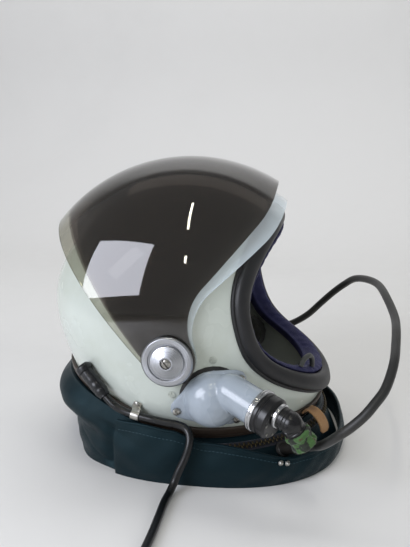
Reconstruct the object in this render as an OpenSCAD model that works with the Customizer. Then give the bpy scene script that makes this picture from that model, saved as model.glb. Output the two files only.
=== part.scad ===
// Flight helmet with a full shell, two swinging visors, a rubber face seal,
// a breathing valve, a neck skirt, a visor hose and a communications lead.
// The origin is on the surface that the helmet stands on, under the neck
// opening. +X is forward, out of the face, +Y is the wearer's left, +Z is up.
// The form functions below count from the middle of the visor pivot axis.

/* [Helmet shell] */
// Height of the visor pivots above the surface that the helmet stands on
pivot_height = 120; // [112:1:130]
// Distance of the visor pivots behind the middle of the neck opening
pivot_back = 10; // [4:1:16]
// Radius of the crown round the pivot axis
crown_r = 145; // [140:1:150]
// Half of the shell's width at the pivots
shell_half_w = 120; // [116:1:124]
// Thickness of the shell's wall
shell_t = 4; // [3:0.5:5]
// How far the nape is drawn in from the crown's round
nape_in = 19; // [10:1:24]
// How far the chin stands out from the crown's round
chin_out = 8; // [4:1:10]
// Part of its width that the shell loses towards the face
front_taper = 0.14; // [0.1:0.01:0.18]

/* [Face opening] */
// Upward tilt of the face opening
opening_tilt = 14; // [10:1:18]
// Half of the face opening's width
opening_half_w = 105.5; // [100:0.5:108]
// Height of the opening's brow edge above its middle
opening_top = 90; // [84:1:94]
// Depth of the opening's chin edge below its middle
opening_bottom = 105; // [98:1:108]
// Width of the rubber face seal at the chin and brow
seal_w = 18; // [14:1:22]
// Height of the rubber face seal above the shell
seal_h = 6; // [4:0.5:7]
// Depth of the padded lining inside the face seal
lining_depth = 26; // [20:1:30]

/* [Neck] */
// Depth of the shell's lower edge below the pivots at its lowest
neck_drop = 80; // [76:1:84]
// Radius of the lower edge's sweep, seen from the side
neck_sweep_r = 330; // [310:5:360]
// How far the lowest place of that sweep is ahead of the pivots
neck_sweep_x = 70; // [60:1:80]
// Height of the rubber ring under the shell's edge
ring_h = 9; // [7:0.5:11]
// Half of the skirt's length where it stands
skirt_half_l = 138; // [132:1:144]
// Half of the skirt's width where it stands
skirt_half_w = 125; // [121:1:130]
// Thickness of the skirt's padded cloth
skirt_t = 2.4; // [1.8:0.2:3]
// How far the skirt sags out at the nape
nape_sag = 14; // [8:1:18]
// Number of folds round the skirt
fold_count = 11; // [7:1:15]
// Depth of those folds
fold_depth = 2.2; // [1:0.2:3]
// Height of the outer flap's edge beside the valve
flap_h = 54; // [48:1:57]
// Height of the outer flap's edge at the front
flap_front_h = 23; // [16:1:27]
// Distance between the teeth of the zip
zip_pitch = 4.5; // [4:0.5:6]

/* [Visors] */
// Gap from the crown's radius to the clear visor's, round the pivot axis
clear_gap = 14; // [12:1:16]
// Gap from the clear visor's radius to the tinted sun visor's
sun_gap = 11; // [9:1:14]
// Thickness of each visor
visor_t = 2.4; // [2:0.2:3]
// Direction of the clear visor's front edge at rest, above forward
clear_front = 41.5; // [40:0.5:44]
// Direction of the sun visor's front edge at rest, above forward
sun_front = 48.5; // [46:0.5:52]
// Angle from a visor's front edge to its rear edge
visor_span = 84; // [80:1:88]
// Distance of both straight edges behind the pivot
edge_offset = 20; // [18:0.5:21]
// Radius of the round ears at the pivots
ear_r = 24; // [22:0.5:26]

/* [Pivots] */
// Radius of the pivot bushes
bush_r = 6; // [5:0.5:7]
// Running clearance of the visors on the bushes
run_gap = 0.05; // [0.02:0.01:0.08]
// Radius of the metal pivot discs
disc_r = 22.5; // [20:0.5:24]
// Thickness of the pivot discs
disc_t = 4.5; // [3.5:0.5:6]
// Radius of the coned cap on each disc
cap_r = 15; // [13:0.5:17]
// Height of that cone
cap_h = 5.5; // [4:0.5:7]
// Radius of the pivot screws' shanks
pivot_screw_r = 3; // [2.5:0.5:3.5]

/* [Breathing valve] */
// Distance of the valve ahead of the pivots
valve_x = 36; // [32:1:38]
// Distance of the valve below the pivots
valve_down = 39; // [37:1:42]
// Radius of the valve housing's round bulb
bulb_r = 26; // [23:0.5:27]
// Height of that bulb
bulb_h = 25; // [21:1:28]
// Wall of the valve housing
housing_t = 2.5; // [2:0.5:3]
// Thickness of the rubber gasket under the housing
gasket_t = 3; // [2:0.5:4]
// Radius of the spout
spout_r = 16; // [14:0.5:17]
// Radius of the bright outlet ring
outlet_r = 19; // [17:0.2:20]
// Radius of the breathing port through the connector
port_r = 7; // [6:0.5:8]
// Outer radius of the connector's mouth
mouth_r = 11.5; // [10:0.5:13]
// Number of small screws in the outlet body
outlet_screws = 8; // [4:1:10]

/* [Hose and lead] */
// Diameter of the visor hose
hose_d = 8; // [7:0.5:9]
// Diameter of the communications lead
lead_d = 7; // [6:0.5:8]
// Diameter of the lead's outer sleeve
sleeve_d = 13; // [11:0.5:14]
// Radius of the lead's coil at its outermost turn
coil_r = 41; // [39:1:44]
// Number of turns in the coil
coil_turns = 3; // [2:1:4]

/* [Inside] */
// Thickness of the foam liner
foam_t = 15; // [12:1:17]
// Thickness of the comfort pads
pad_t = 11; // [8:1:13]
// Radius of the ear cups
cup_r = 36; // [32:1:38]
// Depth of the ear cups
cup_depth = 22; // [18:1:25]

/* [Hidden] */
$fn = 64;
fit = 0.3;
pivot = [-pivot_back, 0, pivot_height];
floor_z = -pivot_height;
roundness = 2.3;
opening_roundness = 2.2;
opening_mid = 10;
plan_roundness = 2.5;
skirt_mid = 20;
skirt_drop = 6;
neck_mid = 8;
loop_steps = 64;
X = [1, 0, 0];
Y = [0, 1, 0];
Z = [0, 0, 1];

// Small functions
function smooth(t) = let (c = min(1, max(0, t))) c * c * (3 - 2 * c);
function unit(v) = v / norm(v);
function power(v, p) = sign(v) * pow(abs(v), p);
function mix(a, b, t) = a + (b - a) * t;
function turn_between(a, b, t) =
  let (w = acos(min(1, max(-1, a * b))))
  w < 0.01 ? unit(mix(a, b, t)) : (a * sin((1 - t) * w) + b * sin(t * w)) / sin(w);

// The helmet's form: a rounded body turned about the pivot axis, drawn in at
// the nape, out at the chin and narrower towards the face.
function side_r(a) =
  let (b = a < -90 ? a + 360 : a)
  crown_r - nape_in * smooth((b - 155) / 45) * smooth((270 - b) / 45)
  + chin_out * smooth((-2 - b) / 25) * smooth((b + 90) / 40);
function narrow(x) = 1 - front_taper * smooth(x / 110);
function fullness(p, grow) =
  pow(norm([p.x, p.z]) / (side_r(atan2(p.z, p.x)) + grow), roundness)
  + pow(abs(p.y) / ((shell_half_w + grow) * narrow(p.x)), roundness);
// Distance from a start along a direction to the form, grown by some amount
function reach(start, dir, grow, lo = 0, hi = 230, n = 18) =
  n == 0 ? (lo + hi) / 2
  : let (m = (lo + hi) / 2)
    fullness(start + m * dir, grow) > 1 ? reach(start, dir, grow, lo, m, n - 1)
    : reach(start, dir, grow, m, hi, n - 1);
function on_form(dir, grow) = dir * reach([0, 0, 0], dir, grow);
function normal_at(p) =
  let (e = 0.5)
  unit([for (a = [X, Y, Z]) fullness(p + e * a, 0) - fullness(p - e * a, 0)]);

// Directions round the face opening: 0 is the brow, 90 the wearer's right and
// 180 the chin. k runs from the shell's edge at 0 to the seal's inner edge at 1.
function opening_dir(turn, k) =
  let (
    half = opening_half_w - k * seal_w * 0.47,
    mid = opening_mid - 2 * k,
    high = opening_top - k * (seal_w - 2),
    low = opening_bottom - k * seal_w,
    y = -half * power(sin(turn), 2 / opening_roundness),
    t = mid + (cos(turn) > 0 ? high : low) * power(cos(turn), 2 / opening_roundness),
    start = t * [-sin(opening_tilt), 0, cos(opening_tilt)] + y * Y,
    out = [cos(opening_tilt), 0, sin(opening_tilt)]
  )
  unit(start + out * reach(start, out, 0));

// Points round the neck edge: 0 is the nape, 90 the wearer's right, 180 the chin
function neck_place(turn, rho, drop) =
  let (x = neck_mid - rho * cos(turn), s = x > -60 ? x : -60 - 50 * (1 - exp((x + 60) / 50)))
  [x, -rho * sin(turn),
   neck_sweep_r - neck_drop - sqrt(pow(neck_sweep_r, 2) - pow(s - neck_sweep_x, 2)) - drop];
function neck_reach(turn, drop, grow, lo = 0, hi = 220, n = 18) =
  n == 0 ? (lo + hi) / 2
  : let (m = (lo + hi) / 2)
    fullness(neck_place(turn, m, drop), grow) > 1 ? neck_reach(turn, drop, grow, lo, m, n - 1)
    : neck_reach(turn, drop, grow, m, hi, n - 1);
function neck_point(turn, drop, grow) = neck_place(turn, neck_reach(turn, drop, grow), drop);

// Meshes. A wall has an outer and an inner grid of points, row by row.
function cell(a, b, c, d) = [[a, b, c], [a, c, d]];
function wall_faces(rows, cols, closed) =
  let (n = rows * cols, last = closed ? cols - 1 : cols - 2)
  [
    for (i = [0 : rows - 2], j = [0 : last], f = cell(i * cols + j, i * cols + (j + 1) % cols,
         (i + 1) * cols + (j + 1) % cols, (i + 1) * cols + j)) f,
    for (i = [0 : rows - 2], j = [0 : last], f = cell(n + (i + 1) * cols + j,
         n + (i + 1) * cols + (j + 1) % cols, n + i * cols + (j + 1) % cols, n + i * cols + j)) f,
    for (j = [0 : last], f = cell(n + j, n + (j + 1) % cols, (j + 1) % cols, j)) f,
    for (j = [0 : last], f = cell((rows - 1) * cols + j, (rows - 1) * cols + (j + 1) % cols,
         n + (rows - 1) * cols + (j + 1) % cols, n + (rows - 1) * cols + j)) f,
    if (!closed) for (i = [0 : rows - 2], f = cell(i * cols, (i + 1) * cols,
         n + (i + 1) * cols, n + i * cols)) f,
    if (!closed) for (i = [0 : rows - 2], f = cell(n + i * cols + cols - 1,
         n + (i + 1) * cols + cols - 1, (i + 1) * cols + cols - 1, i * cols + cols - 1)) f
  ];
// A closed mesh, with its faces turned over if they point inwards
module solid(points, faces) {
  volume = [for (f = faces) points[f[0]] * cross(points[f[1]], points[f[2]])] * [for (f = faces) 1];
  polyhedron(points, volume > 0 ? [for (f = faces) [f[2], f[1], f[0]]] : faces);
}
module wall(outer, inner, closed) {
  solid([for (r = outer, p = r) p, for (r = inner, p = r) p], wall_faces(len(outer), len(outer[0]), closed));
}
// A closed loop of equal sections, each section a ring of points
module loop_of(sections) {
  n = len(sections);
  m = len(sections[0]);
  solid([for (s = sections, p = s) p],
    [for (i = [0 : n - 1], j = [0 : m - 1], f = cell(i * m + j, i * m + (j + 1) % m,
      ((i + 1) % n) * m + (j + 1) % m, ((i + 1) % n) * m + j)) f]);
}
// A run of sections with a flat fan at each end
module run_of(sections) {
  n = len(sections);
  m = len(sections[0]);
  solid([for (s = sections, p = s) p], [
    for (i = [0 : n - 2], j = [0 : m - 1], f = cell(i * m + j, i * m + (j + 1) % m,
      (i + 1) * m + (j + 1) % m, (i + 1) * m + j)) f,
    for (j = [1 : m - 2]) [0, j + 1, j],
    for (j = [1 : m - 2]) [(n - 1) * m, (n - 1) * m + j, (n - 1) * m + j + 1]
  ]);
}
// Paths: smooth places between the points of a route, and square sections
function route_at(p, u) =
  let (
    n = len(p) - 1, i = min(n - 1, floor(u)), t = u - i,
    a = i > 0 ? p[i - 1] : 2 * p[0] - p[1], b = p[i], c = p[i + 1],
    d = i + 2 <= n ? p[i + 2] : 2 * p[n] - p[n - 1]
  )
  0.5 * (2 * b + (c - a) * t + (2 * a - 5 * b + 4 * c - d) * t * t
  + (3 * b - a - 3 * c + d) * t * t * t);
function route(p, steps) = [for (k = [0 : steps]) route_at(p, k * (len(p) - 1) / steps)];
function headings(q) =
  let (n = len(q) - 1) [for (i = [0 : n]) unit(q[min(n, i + 1)] - q[max(0, i - 1)])];
function sides_of(h, side, i = 0) =
  i == len(h) ? [] : let (s = unit(side - (side * h[i]) * h[i])) concat([s], sides_of(h, s, i + 1));
function path_length(q) = len(q) < 2 ? 0 : norm(q[1] - q[0]) + path_length([for (i = [1 : len(q) - 1]) q[i]]);
module tube(q, r, sides, side = Z) {
  h = headings(q);
  s = sides_of(h, side);
  run_of([for (i = [0 : len(q) - 1]) [for (k = [0 : sides - 1])
    let (a = 360 * (k + 0.5) / sides) q[i] + r * (cos(a) * s[i] + sin(a) * cross(s[i], h[i]))]]);
}
module strap(q, w, t, side) {
  h = headings(q);
  run_of([for (i = [0 : len(q) - 1]) let (s = unit(side - (side * h[i]) * h[i]), o = cross(s, h[i]))
    [for (c = [[-1, -1], [-1, 1], [1, 1], [1, -1]]) q[i] + s * c.x * w / 2 + o * c.y * t / 2]]);
}
// Places something drawn along +Z so that it starts at p and points along d
module aim(p, d) {
  translate(p) rotate([0, acos(d.z / norm(d)), atan2(d.y, d.x)]) children();
}
module both_sides() {
  children();
  mirror(Y) children();
}
module at_pivot() {
  translate(pivot) children();
}
// A patch of the form round a place on it, between two heights above it
function patch_place(c, n, rho, a, grow) =
  let (u = unit(cross(n, Z)), w = cross(n, u), s = c - 60 * n + rho * (cos(a) * u + sin(a) * w))
  s + n * reach(s, n, grow, 0, 110);
function patch_ring(c, n, rho, grow, steps) =
  [for (k = [0 : steps - 1]) patch_place(c, n, rho, 360 * k / steps, grow)];
module patch(c, r, low, high, steps = 24) {
  n = normal_at(c);
  rings = [for (k = [0.1, 0.4, 0.7, 1]) k * r];
  inner_rings = [for (k = [0.9, 0.6, 0.3, 0.08]) k * r];
  run_of(concat([for (rho = rings) patch_ring(c, n, rho, low, steps)],
                [for (rho = inner_rings) patch_ring(c, n, rho, high, steps)]));
}

// Shell, ring, seal and lining
function skin(grow, from, to, rows, cols, first = 0, last = 360) =
  [for (i = [0 : rows - 1]) [for (j = [0 : cols - 1])
    let (
      closed = last - first == 360,
      turn = first + (last - first) * j / (closed ? cols : cols - 1),
      d = turn_between(opening_dir(turn, 0), unit(neck_point(turn, 0, 0)), mix(from, to, i / (rows - 1)))
    )
    on_form(d, grow)]];
module shell_holes() {
  rotate([90, 0, 0]) cylinder(r = bush_r, h = 4 * shell_half_w, center = true);
  aim(valve_foot - 12 * valve_out, valve_out) cylinder(r = bulb_r / 2, h = 24);
  for (p = valve_screw_places) aim(p - 8 * valve_out, valve_out) cylinder(r = valve_screw_r + 0.1, h = 16);
  aim(gland_foot - 8 * gland_out, gland_out) cylinder(r = gland_stem_r, h = 16);
  for (s = [-1, 1], p = shell_screw_places) let (c = on_side(p, s))
    aim(c - 8 * normal_at(c), normal_at(c)) cylinder(r = shell_screw_r + 0.1, h = 16);
  aim(clip_foot - 8 * clip_out, clip_out) cylinder(r = clip_screw_r + 0.1, h = 16);
}
module outer_shell() {
  color("#c8d0c6") at_pivot() difference() {
    wall(skin(0, 0, 1, 20, 56), skin(-shell_t, 0, 1, 20, 56), true);
    shell_holes();
  }
}
ring_section = [
  [-4, fit], [-4, 3], [3, 4], [ring_h, 2.5], [ring_h, -shell_t - 2], [3, -shell_t - 4],
  [-4, -shell_t - 3], [-4, -shell_t - fit], [fit, -shell_t - fit], [fit, fit]
];
module neck_ring() {
  color("#3a352b") at_pivot()
    loop_of([for (j = [0 : 55]) let (turn = 360 * j / 56)
      [for (c = ring_section) neck_point(turn, c[0], c[1])]]);
}
seal_section = [
  [0.03, -shell_t], [0.03, 0.5], [0.16, seal_h * 0.75], [0.45, seal_h], [0.8, seal_h * 0.6],
  [1, -1.5], [0.96, -6], [0.6, -9], [0.2, -8]
];
module face_seal() {
  color("#1c1c1e") at_pivot()
    loop_of([for (j = [0 : loop_steps - 1]) let (turn = 360 * j / loop_steps)
      [for (c = seal_section) on_form(opening_dir(turn, c[0]), c[1])]]);
}
lining_section = [
  [0.86, -9.5], [0.99, -7], [1.1, -5], [1.22, -9], [1.15, -lining_depth * 0.7], [0.9, -lining_depth],
  [0.4, -lining_depth + 2], [0.3, -14], [0.5, -10]
];
module face_lining() {
  color("#1c1f4a") at_pivot()
    loop_of([for (j = [0 : loop_steps - 1]) let (turn = 360 * j / loop_steps)
      [for (c = lining_section) on_form(opening_dir(turn, c[0]), c[1])]]);
}
foam_out = shell_t + 1.6;
foam_in = foam_out + foam_t;
foam_half = 88;
module foam_liner() {
  color("#d8d6cc") at_pivot() difference() {
    wall(skin(-foam_out, 0.2, 0.86, 10, 33, -foam_half, foam_half),
         skin(-foam_in, 0.2, 0.86, 10, 33, -foam_half, foam_half), false);
    for (s = [-1, 1]) translate([cup_x, s * shell_half_w, -cup_down]) rotate([90, 0, 0])
      cylinder(r = cup_r + 1, h = 2 * shell_half_w - 120, center = true);
    rotate([90, 0, 0]) cylinder(r = nut_r + 1.5, h = 3 * shell_half_w, center = true);
  }
}
module pad_on(dir, r) {
  patch(on_form(unit(dir), 0), r, -foam_in - 1.8 - pad_t, -foam_in - 1.8, 24);
}
module crown_pad() {
  color("#20234a") at_pivot() pad_on([-0.1, 0, 1], 52);
}
module nape_pad() {
  color("#20234a") at_pivot() pad_on([-1, 0, 0.1], 36);
}

// Ear cups, earphones and cheek pads
cup_x = -8;
cup_down = 26;
cup_wall = 2.5;
cup_top = shell_half_w - 17;
cushion_t = 13;
module at_ear(s) {
  at_pivot() translate([cup_x, s * cup_top, -cup_down]) rotate([s * 90, 0, 0]) children();
}
module ear_cup(s) {
  color("#2b2d2c") at_ear(s) difference() {
    rotate_extrude() polygon([[0, 0], [cup_r - 6, 0], [cup_r - 1.5, 2], [cup_r, 6], [cup_r, cup_depth], [0, cup_depth]]);
    translate([0, 0, cup_wall]) cylinder(r = cup_r - cup_wall - 2, h = cup_depth);
  }
}
module ear_cushion(s) {
  color("#20234a") at_ear(s) rotate_extrude() translate([cup_r - 9.5, cup_depth + fit + cushion_t / 2])
    intersection() {
      circle(r = 9.2, $fn = 24);
      square([18.4, cushion_t], center = true);
    }
}
module earphone(s) {
  color("#3a3a3c") at_ear(s) translate([0, 0, cup_wall + fit]) rotate_extrude()
    polygon([[0, 0], [24, 0], [24, 6], [20, 9], [6, 10], [0, 10]]);
}
module cheek_pad(s) {
  color("#3c3f38") at_pivot()
    patch(on_form(unit([0.55, s * 0.9, -0.4]), 0), 23, -foam_in - pad_t + 3, -shell_t - 0.3, 20);
}
tube_r = 2.6;
tube_loop = [[143.5, 1.25], [143.8, 1.5], [145.5, 1.8], [150.5, 2], [155.5, 1.8], [157.5, 1.5], [158, 1.25]];
module breathing_tube() {
  color("#55574f") at_pivot()
    tube(route([for (p = tube_loop) on_form(opening_dir(p[0], p[1]), -11.5)], 24), tube_r, 10, Y);
}

// Visors: bodies turned about the pivot axis, cut to their outline from the side
washer_t = 1.6;
flange_t = 2;
clear_r = crown_r + clear_gap;
sun_r = clear_r + sun_gap;
clear_half = shell_half_w + flange_t + washer_t + fit + visor_t;
sun_half = clear_half + washer_t + 2 * fit + fit + visor_t;
function visor_profile(r, half) =
  [for (a = [90 : -3 : -90]) [r * power(cos(a), 2 / roundness), half * power(sin(a), 2 / roundness)]];
module visor_body(r, half) {
  rotate([90, 0, 0]) rotate_extrude($fn = 96)
    polygon(concat([for (p = visor_profile(r, half)) [max(0, p[0]), p[1]]]));
}
// Outline of a visor from the side, turned so that its front edge runs along
// +x. The edge passes behind the pivot and curves into the round ear.
hollow_r = 2 * ear_r;
corner_r = 62;
module visor_outline(r) {
  far = 2 * sun_r;
  hollow_x = sqrt(pow(ear_r + hollow_r, 2) - pow(edge_offset - hollow_r, 2));
  hollow_mid = [hollow_x, edge_offset - hollow_r];
  rear = [cos(visor_span), sin(visor_span)];
  rear_side = edge_offset * [-sin(visor_span), cos(visor_span)];
  corner_x = r - 36;
  corner = [for (t = [0 : 6 : 54]) [corner_x + corner_r * sin(t), edge_offset + corner_r * (1 - cos(t))]];
  round_polygon(ear_r, 48);
  polygon(concat([[0, 0], [0, edge_offset]], corner, [[far, corner[len(corner) - 1].y + far / 2]],
    [far * (rear + [1, 0]), far * rear + rear_side, rear_side]));
  difference() {
    polygon([[0, 0], ear_r * unit(hollow_mid), hollow_mid, [hollow_x, edge_offset + 0.1], [0, edge_offset + 0.1]]);
    translate(hollow_mid) round_polygon(hollow_r, 72);
  }
}
module visor(r, half, front) {
  at_pivot() difference() {
    intersection() {
      visor_body(r, half);
      rotate([90, 0, 0]) linear_extrude(4 * half, center = true) rotate(front) visor_outline(r);
    }
    visor_body(r - visor_t, half - visor_t);
    rotate([90, 0, 0]) cylinder(r = bush_r + run_gap, h = 4 * half, center = true);
  }
}
module clear_visor() {
  color("#a9b6bd", 0.5) visor(clear_r, clear_half, clear_front);
}
module sun_visor() {
  color("#37322c", 0.7) visor(sun_r, sun_half, sun_front);
}

// Pivots, drawn on the left side along +y and mirrored to the right
nut_r = 7.5;
nut_t = 4;
bush_in = 5;
head_r = 4.5;
disc_place = sun_half + fit;
groove_w = 1.6;
cap_place = disc_place + disc_t - groove_w;
module pivot_at(s, out) {
  at_pivot() translate([0, s * out, 0]) rotate([-s * 90, 0, 0]) children();
}
module pivot_bushes() {
  color("#8c8c8a") for (s = [-1, 1]) pivot_at(s, shell_half_w) difference() {
    union() {
      translate([0, 0, -shell_t - bush_in]) cylinder(r = bush_r, h = disc_place - shell_half_w + shell_t + bush_in);
      cylinder(r = 14, h = flange_t);
    }
    translate([0, 0, -20]) cylinder(r = pivot_screw_r, h = 60);
  }
}
module washer(s, out) {
  pivot_at(s, out) difference() {
    cylinder(r = 13, h = washer_t);
    translate([0, 0, -1]) cylinder(r = bush_r, h = washer_t + 2);
  }
}
module inner_washers() {
  color("#d8d8d0") for (s = [-1, 1]) washer(s, shell_half_w + flange_t);
}
module outer_washers() {
  color("#d8d8d0") for (s = [-1, 1]) washer(s, clear_half + fit);
}
module pivot_nuts() {
  color("#8c8c8a") for (s = [-1, 1]) pivot_at(s, shell_half_w - shell_t - bush_in - nut_t) difference() {
    cylinder(r = nut_r, h = nut_t, $fn = 6);
    translate([0, 0, -1]) cylinder(r = pivot_screw_r, h = nut_t + 2);
  }
}
module pivot_disc(s) {
  color("#b9bcc0") pivot_at(s, disc_place) rotate_extrude() polygon([
    [pivot_screw_r, 0], [disc_r - 1, 0], [disc_r, 1], [disc_r, disc_t - 1.2], [disc_r - 1.2, disc_t],
    [cap_r + groove_w + 0.6, disc_t], [cap_r + groove_w, disc_t - 0.6], [cap_r + groove_w, disc_t - groove_w],
    [pivot_screw_r, disc_t - groove_w]
  ]);
}
module pivot_cap(s) {
  color("#c9ccd0") pivot_at(s, cap_place) difference() {
    rotate_extrude() polygon([[0, 0], [cap_r, 0], [cap_r, 1.3], [cap_r - 0.6, 2], [head_r + 1.4, cap_h], [0, cap_h]]);
    translate([0, 0, -1]) cylinder(r = pivot_screw_r, h = cap_h + 2);
    translate([0, 0, cap_h - 2.2]) cylinder(r = head_r + 0.2, h = 4);
  }
}
module pivot_screws() {
  length = cap_place + cap_h - 2.2 - (shell_half_w - shell_t - bush_in - nut_t - 1);
  color("#9a9a98") for (s = [-1, 1]) pivot_at(s, cap_place + cap_h - 2.2) difference() {
    union() {
      rotate_extrude() polygon([[0, 0], [head_r, 0], [head_r, 2.2], [head_r - 1, 2.8], [0, 3]]);
      translate([0, 0, -length]) cylinder(r = pivot_screw_r, h = length);
    }
    translate([-head_r - 1, -0.6, 1.6]) cube([2 * head_r + 2, 1.2, 3]);
  }
}

// Small screws in the shell
shell_screw_r = 2;
shell_screw_places = [[37, -4], [0.5, -37]];
function on_side(p, s) = [p.x, s * reach([p.x, 0, p.y], s * Y, 0, 0, 140), p.y];
module shell_screws() {
  color("#b4b9ae") at_pivot() for (s = [-1, 1], p = shell_screw_places) let (c = on_side(p, s), n = normal_at(c)) {
    aim(c - 4.2 * n, n) cylinder(r = shell_screw_r, h = 4.4);
    aim(c + 0.15 * n, n) cylinder(r = 3.4, h = 0.8);
  }
}

// Breathing valve: gasket, housing with two ears, spout and outlet
valve_foot = on_side([valve_x, -valve_down], -1);
valve_out = normal_at(valve_foot);
valve_screw_r = 2;
ear_t = 4;
valve_ears = [[-32.5, -11], [23.7, 19], [20, -23]];
valve_screw_places = [for (e = valve_ears) on_side([valve_x + e.x, e.y - valve_down], -1)];
function ear_bearing(p) =
  let (u = unit(cross(valve_out, Z)), w = cross(valve_out, u), d = p - valve_foot) atan2(d * w, d * u);
function housing_edge(a, inset = 0) =
  let (rim = bulb_r + 1.5)
  rim - inset + max([for (p = valve_screw_places)
    (norm(p - valve_foot) + 5 - rim) * pow(max(0, cos(a - ear_bearing(p))), 12)]);
function housing_ring(k, low, lift) =
  [for (j = [0 : 35]) let (a = 10 * j, rho = k <= 1 ? bulb_r * sin(90 * k) : mix(bulb_r, housing_edge(a), k - 1))
    patch_place(valve_foot, valve_out, rho, a, gasket_t)
    + valve_out * (low ? 0 : (k < 1 ? mix(ear_t, bulb_h, cos(90 * k)) : ear_t) - lift * (k - 1) * (k > 1 ? 1 : 0))];
function hollow_ring(k, high) =
  [for (j = [0 : 23]) patch_place(valve_foot, valve_out, (bulb_r - housing_t) * sin(90 * k), 15 * j, gasket_t)
    + valve_out * (high ? (bulb_h - housing_t) * cos(90 * k) : -0.5)];
spout_dir = unit([0.82, -0.515, -0.25]);
spout_end = valve_foot + [42.5, -27.5, 3];
spout_len = 30;
ring_len = 5;
body_len = 14;
port_shift = 6 * unit(Z - (Z * spout_dir) * spout_dir);
port_start = spout_end + (ring_len + body_len) * spout_dir + port_shift;
module round_polygon(r, sides) {
  polygon([for (i = [0 : sides - 1]) r * [cos(360 * i / sides), sin(360 * i / sides)]]);
}
module valve_gasket() {
  color("#18181a") at_pivot() difference() {
    patch(valve_foot, bulb_r + 3.5, 0.4, gasket_t - 0.5, 28);
    aim(valve_foot - 4 * valve_out, valve_out) linear_extrude(12) round_polygon(bulb_r / 2, 32);
    for (p = valve_screw_places) aim(p - 8 * valve_out, valve_out) linear_extrude(16)
      round_polygon(valve_screw_r + 0.4, 12);
  }
}
module spout_shape(r) {
  aim(spout_end - spout_len * spout_dir, spout_dir) cylinder(r = r, h = spout_len);
  translate(spout_end - spout_len * spout_dir) sphere(r = r);
}
module valve_housing() {
  $fn = 36;
  color("#97a3ad") at_pivot() difference() {
    union() {
      run_of(concat([for (k = [0.1, 0.6, 1, 2]) housing_ring(k, true, 0)],
                    [for (k = [2, 1.5, 1, 0.85, 0.7, 0.55, 0.4, 0.25, 0.1]) housing_ring(k, false, 1)]));
      difference() {
        spout_shape(spout_r);
        patch(valve_foot, bulb_r + 24, -24, gasket_t, 32);
      }
    }
    run_of(concat([for (k = [0.1, 1]) hollow_ring(k, false)],
                  [for (k = [0.95, 0.8, 0.6, 0.4, 0.2, 0.05]) hollow_ring(k, true)]));
    aim(spout_end - spout_len * spout_dir, spout_dir) cylinder(r = spout_r - housing_t, h = spout_len + 1);
    for (p = valve_screw_places) {
      aim(p - 8 * valve_out, valve_out) cylinder(r = valve_screw_r + 0.1, h = 24);
      aim(p + (gasket_t + ear_t - 0.4) * valve_out, valve_out) cylinder(r = 4.2, h = 12);
    }
  }
}
module valve_diaphragm() {
  color("#222222") at_pivot() aim(valve_foot + (gasket_t + 1.5) * valve_out, valve_out) difference() {
    cylinder(r = bulb_r - housing_t - 1.1, h = 1.2);
    translate([0, 0, -1]) cylinder(r = 3, h = 4);
  }
}
module valve_screws() {
  color("#b8b8b4") at_pivot() for (p = valve_screw_places) {
    aim(p - (shell_t - 0.4) * valve_out, valve_out)
      cylinder(r = valve_screw_r, h = shell_t - 0.4 + gasket_t + ear_t);
    aim(p + (gasket_t + ear_t - 0.1) * valve_out, valve_out)
      rotate_extrude() polygon([[0, 0], [3.6, 0], [3.6, 1], [2.4, 2.2], [0, 2.5]]);
  }
}
module outlet_ring() {
  color("#d0d2d4") at_pivot() aim(spout_end, spout_dir) difference() {
    rotate_extrude() polygon([[0, 0], [outlet_r - 0.8, 0], [outlet_r, 0.8], [outlet_r, ring_len - 0.8], [outlet_r - 0.8, ring_len], [0, ring_len]]);
    translate([0, 0, -1]) cylinder(r = spout_r - housing_t, h = ring_len + 2);
  }
}
module outlet_body() {
  color("#232427") at_pivot() difference() {
    aim(spout_end + ring_len * spout_dir, spout_dir)
      rotate_extrude() polygon([[0, 0], [outlet_r - 1, 0], [outlet_r - 1, body_len - 2], [outlet_r - 3, body_len], [0, body_len]]);
    aim(port_start - 30 * spout_dir, spout_dir) cylinder(r = port_r, h = 31);
    for (p = outlet_screw_places) aim(p - 4 * spout_dir, spout_dir) cylinder(r = 0.9, h = 6);
  }
}
function across(d) = let (u = unit(Z - (Z * d) * d)) [u, cross(d, u)];
outlet_screw_places = [for (k = [1 : outlet_screws - 1]) let (a = 360 * k / outlet_screws, u = across(spout_dir))
  spout_end + (ring_len + body_len) * spout_dir + (outlet_r - 5) * (cos(a) * u[0] + sin(a) * u[1])];
module outlet_body_screws() {
  color("#c8c8c0") at_pivot() for (p = outlet_screw_places)
    aim(p - 4 * spout_dir, spout_dir) cylinder(r = 0.9, h = 4.3);
}
swivel_len = 4;
elbow_r = 9.5;
stub_in = 8;
elbow_at = port_start + (swivel_len + stub_in) * spout_dir;
mouth_dir = unit([0.55, 0.1, -0.83]);
stub_len = 9.5;
mouth_len = 15;
module swivel_ring() {
  color("#b8b4a8") at_pivot() aim(port_start + 0.3 * spout_dir, spout_dir) difference() {
    rotate_extrude() polygon([[0, 0], [10.2, 0], [10.8, 0.8], [10.8, 2.8], [10.2, swivel_len - 0.3], [0, swivel_len - 0.3]]);
    translate([0, 0, -1]) cylinder(r = port_r, h = 8);
  }
}
module swivel_elbow() {
  $fn = 28;
  color("#1e1f21") at_pivot() difference() {
    union() {
      aim(port_start + swivel_len * spout_dir, spout_dir) cylinder(r = elbow_r, h = stub_in);
      translate(elbow_at) sphere(r = elbow_r + 0.3);
      aim(elbow_at, mouth_dir) cylinder(r = elbow_r, h = stub_len);
    }
    aim(port_start, spout_dir) cylinder(r = port_r - 1, h = swivel_len + stub_in);
    translate(elbow_at) sphere(r = port_r - 0.7);
    aim(elbow_at, mouth_dir) cylinder(r = port_r - 1, h = stub_len + 1);
  }
}
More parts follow.
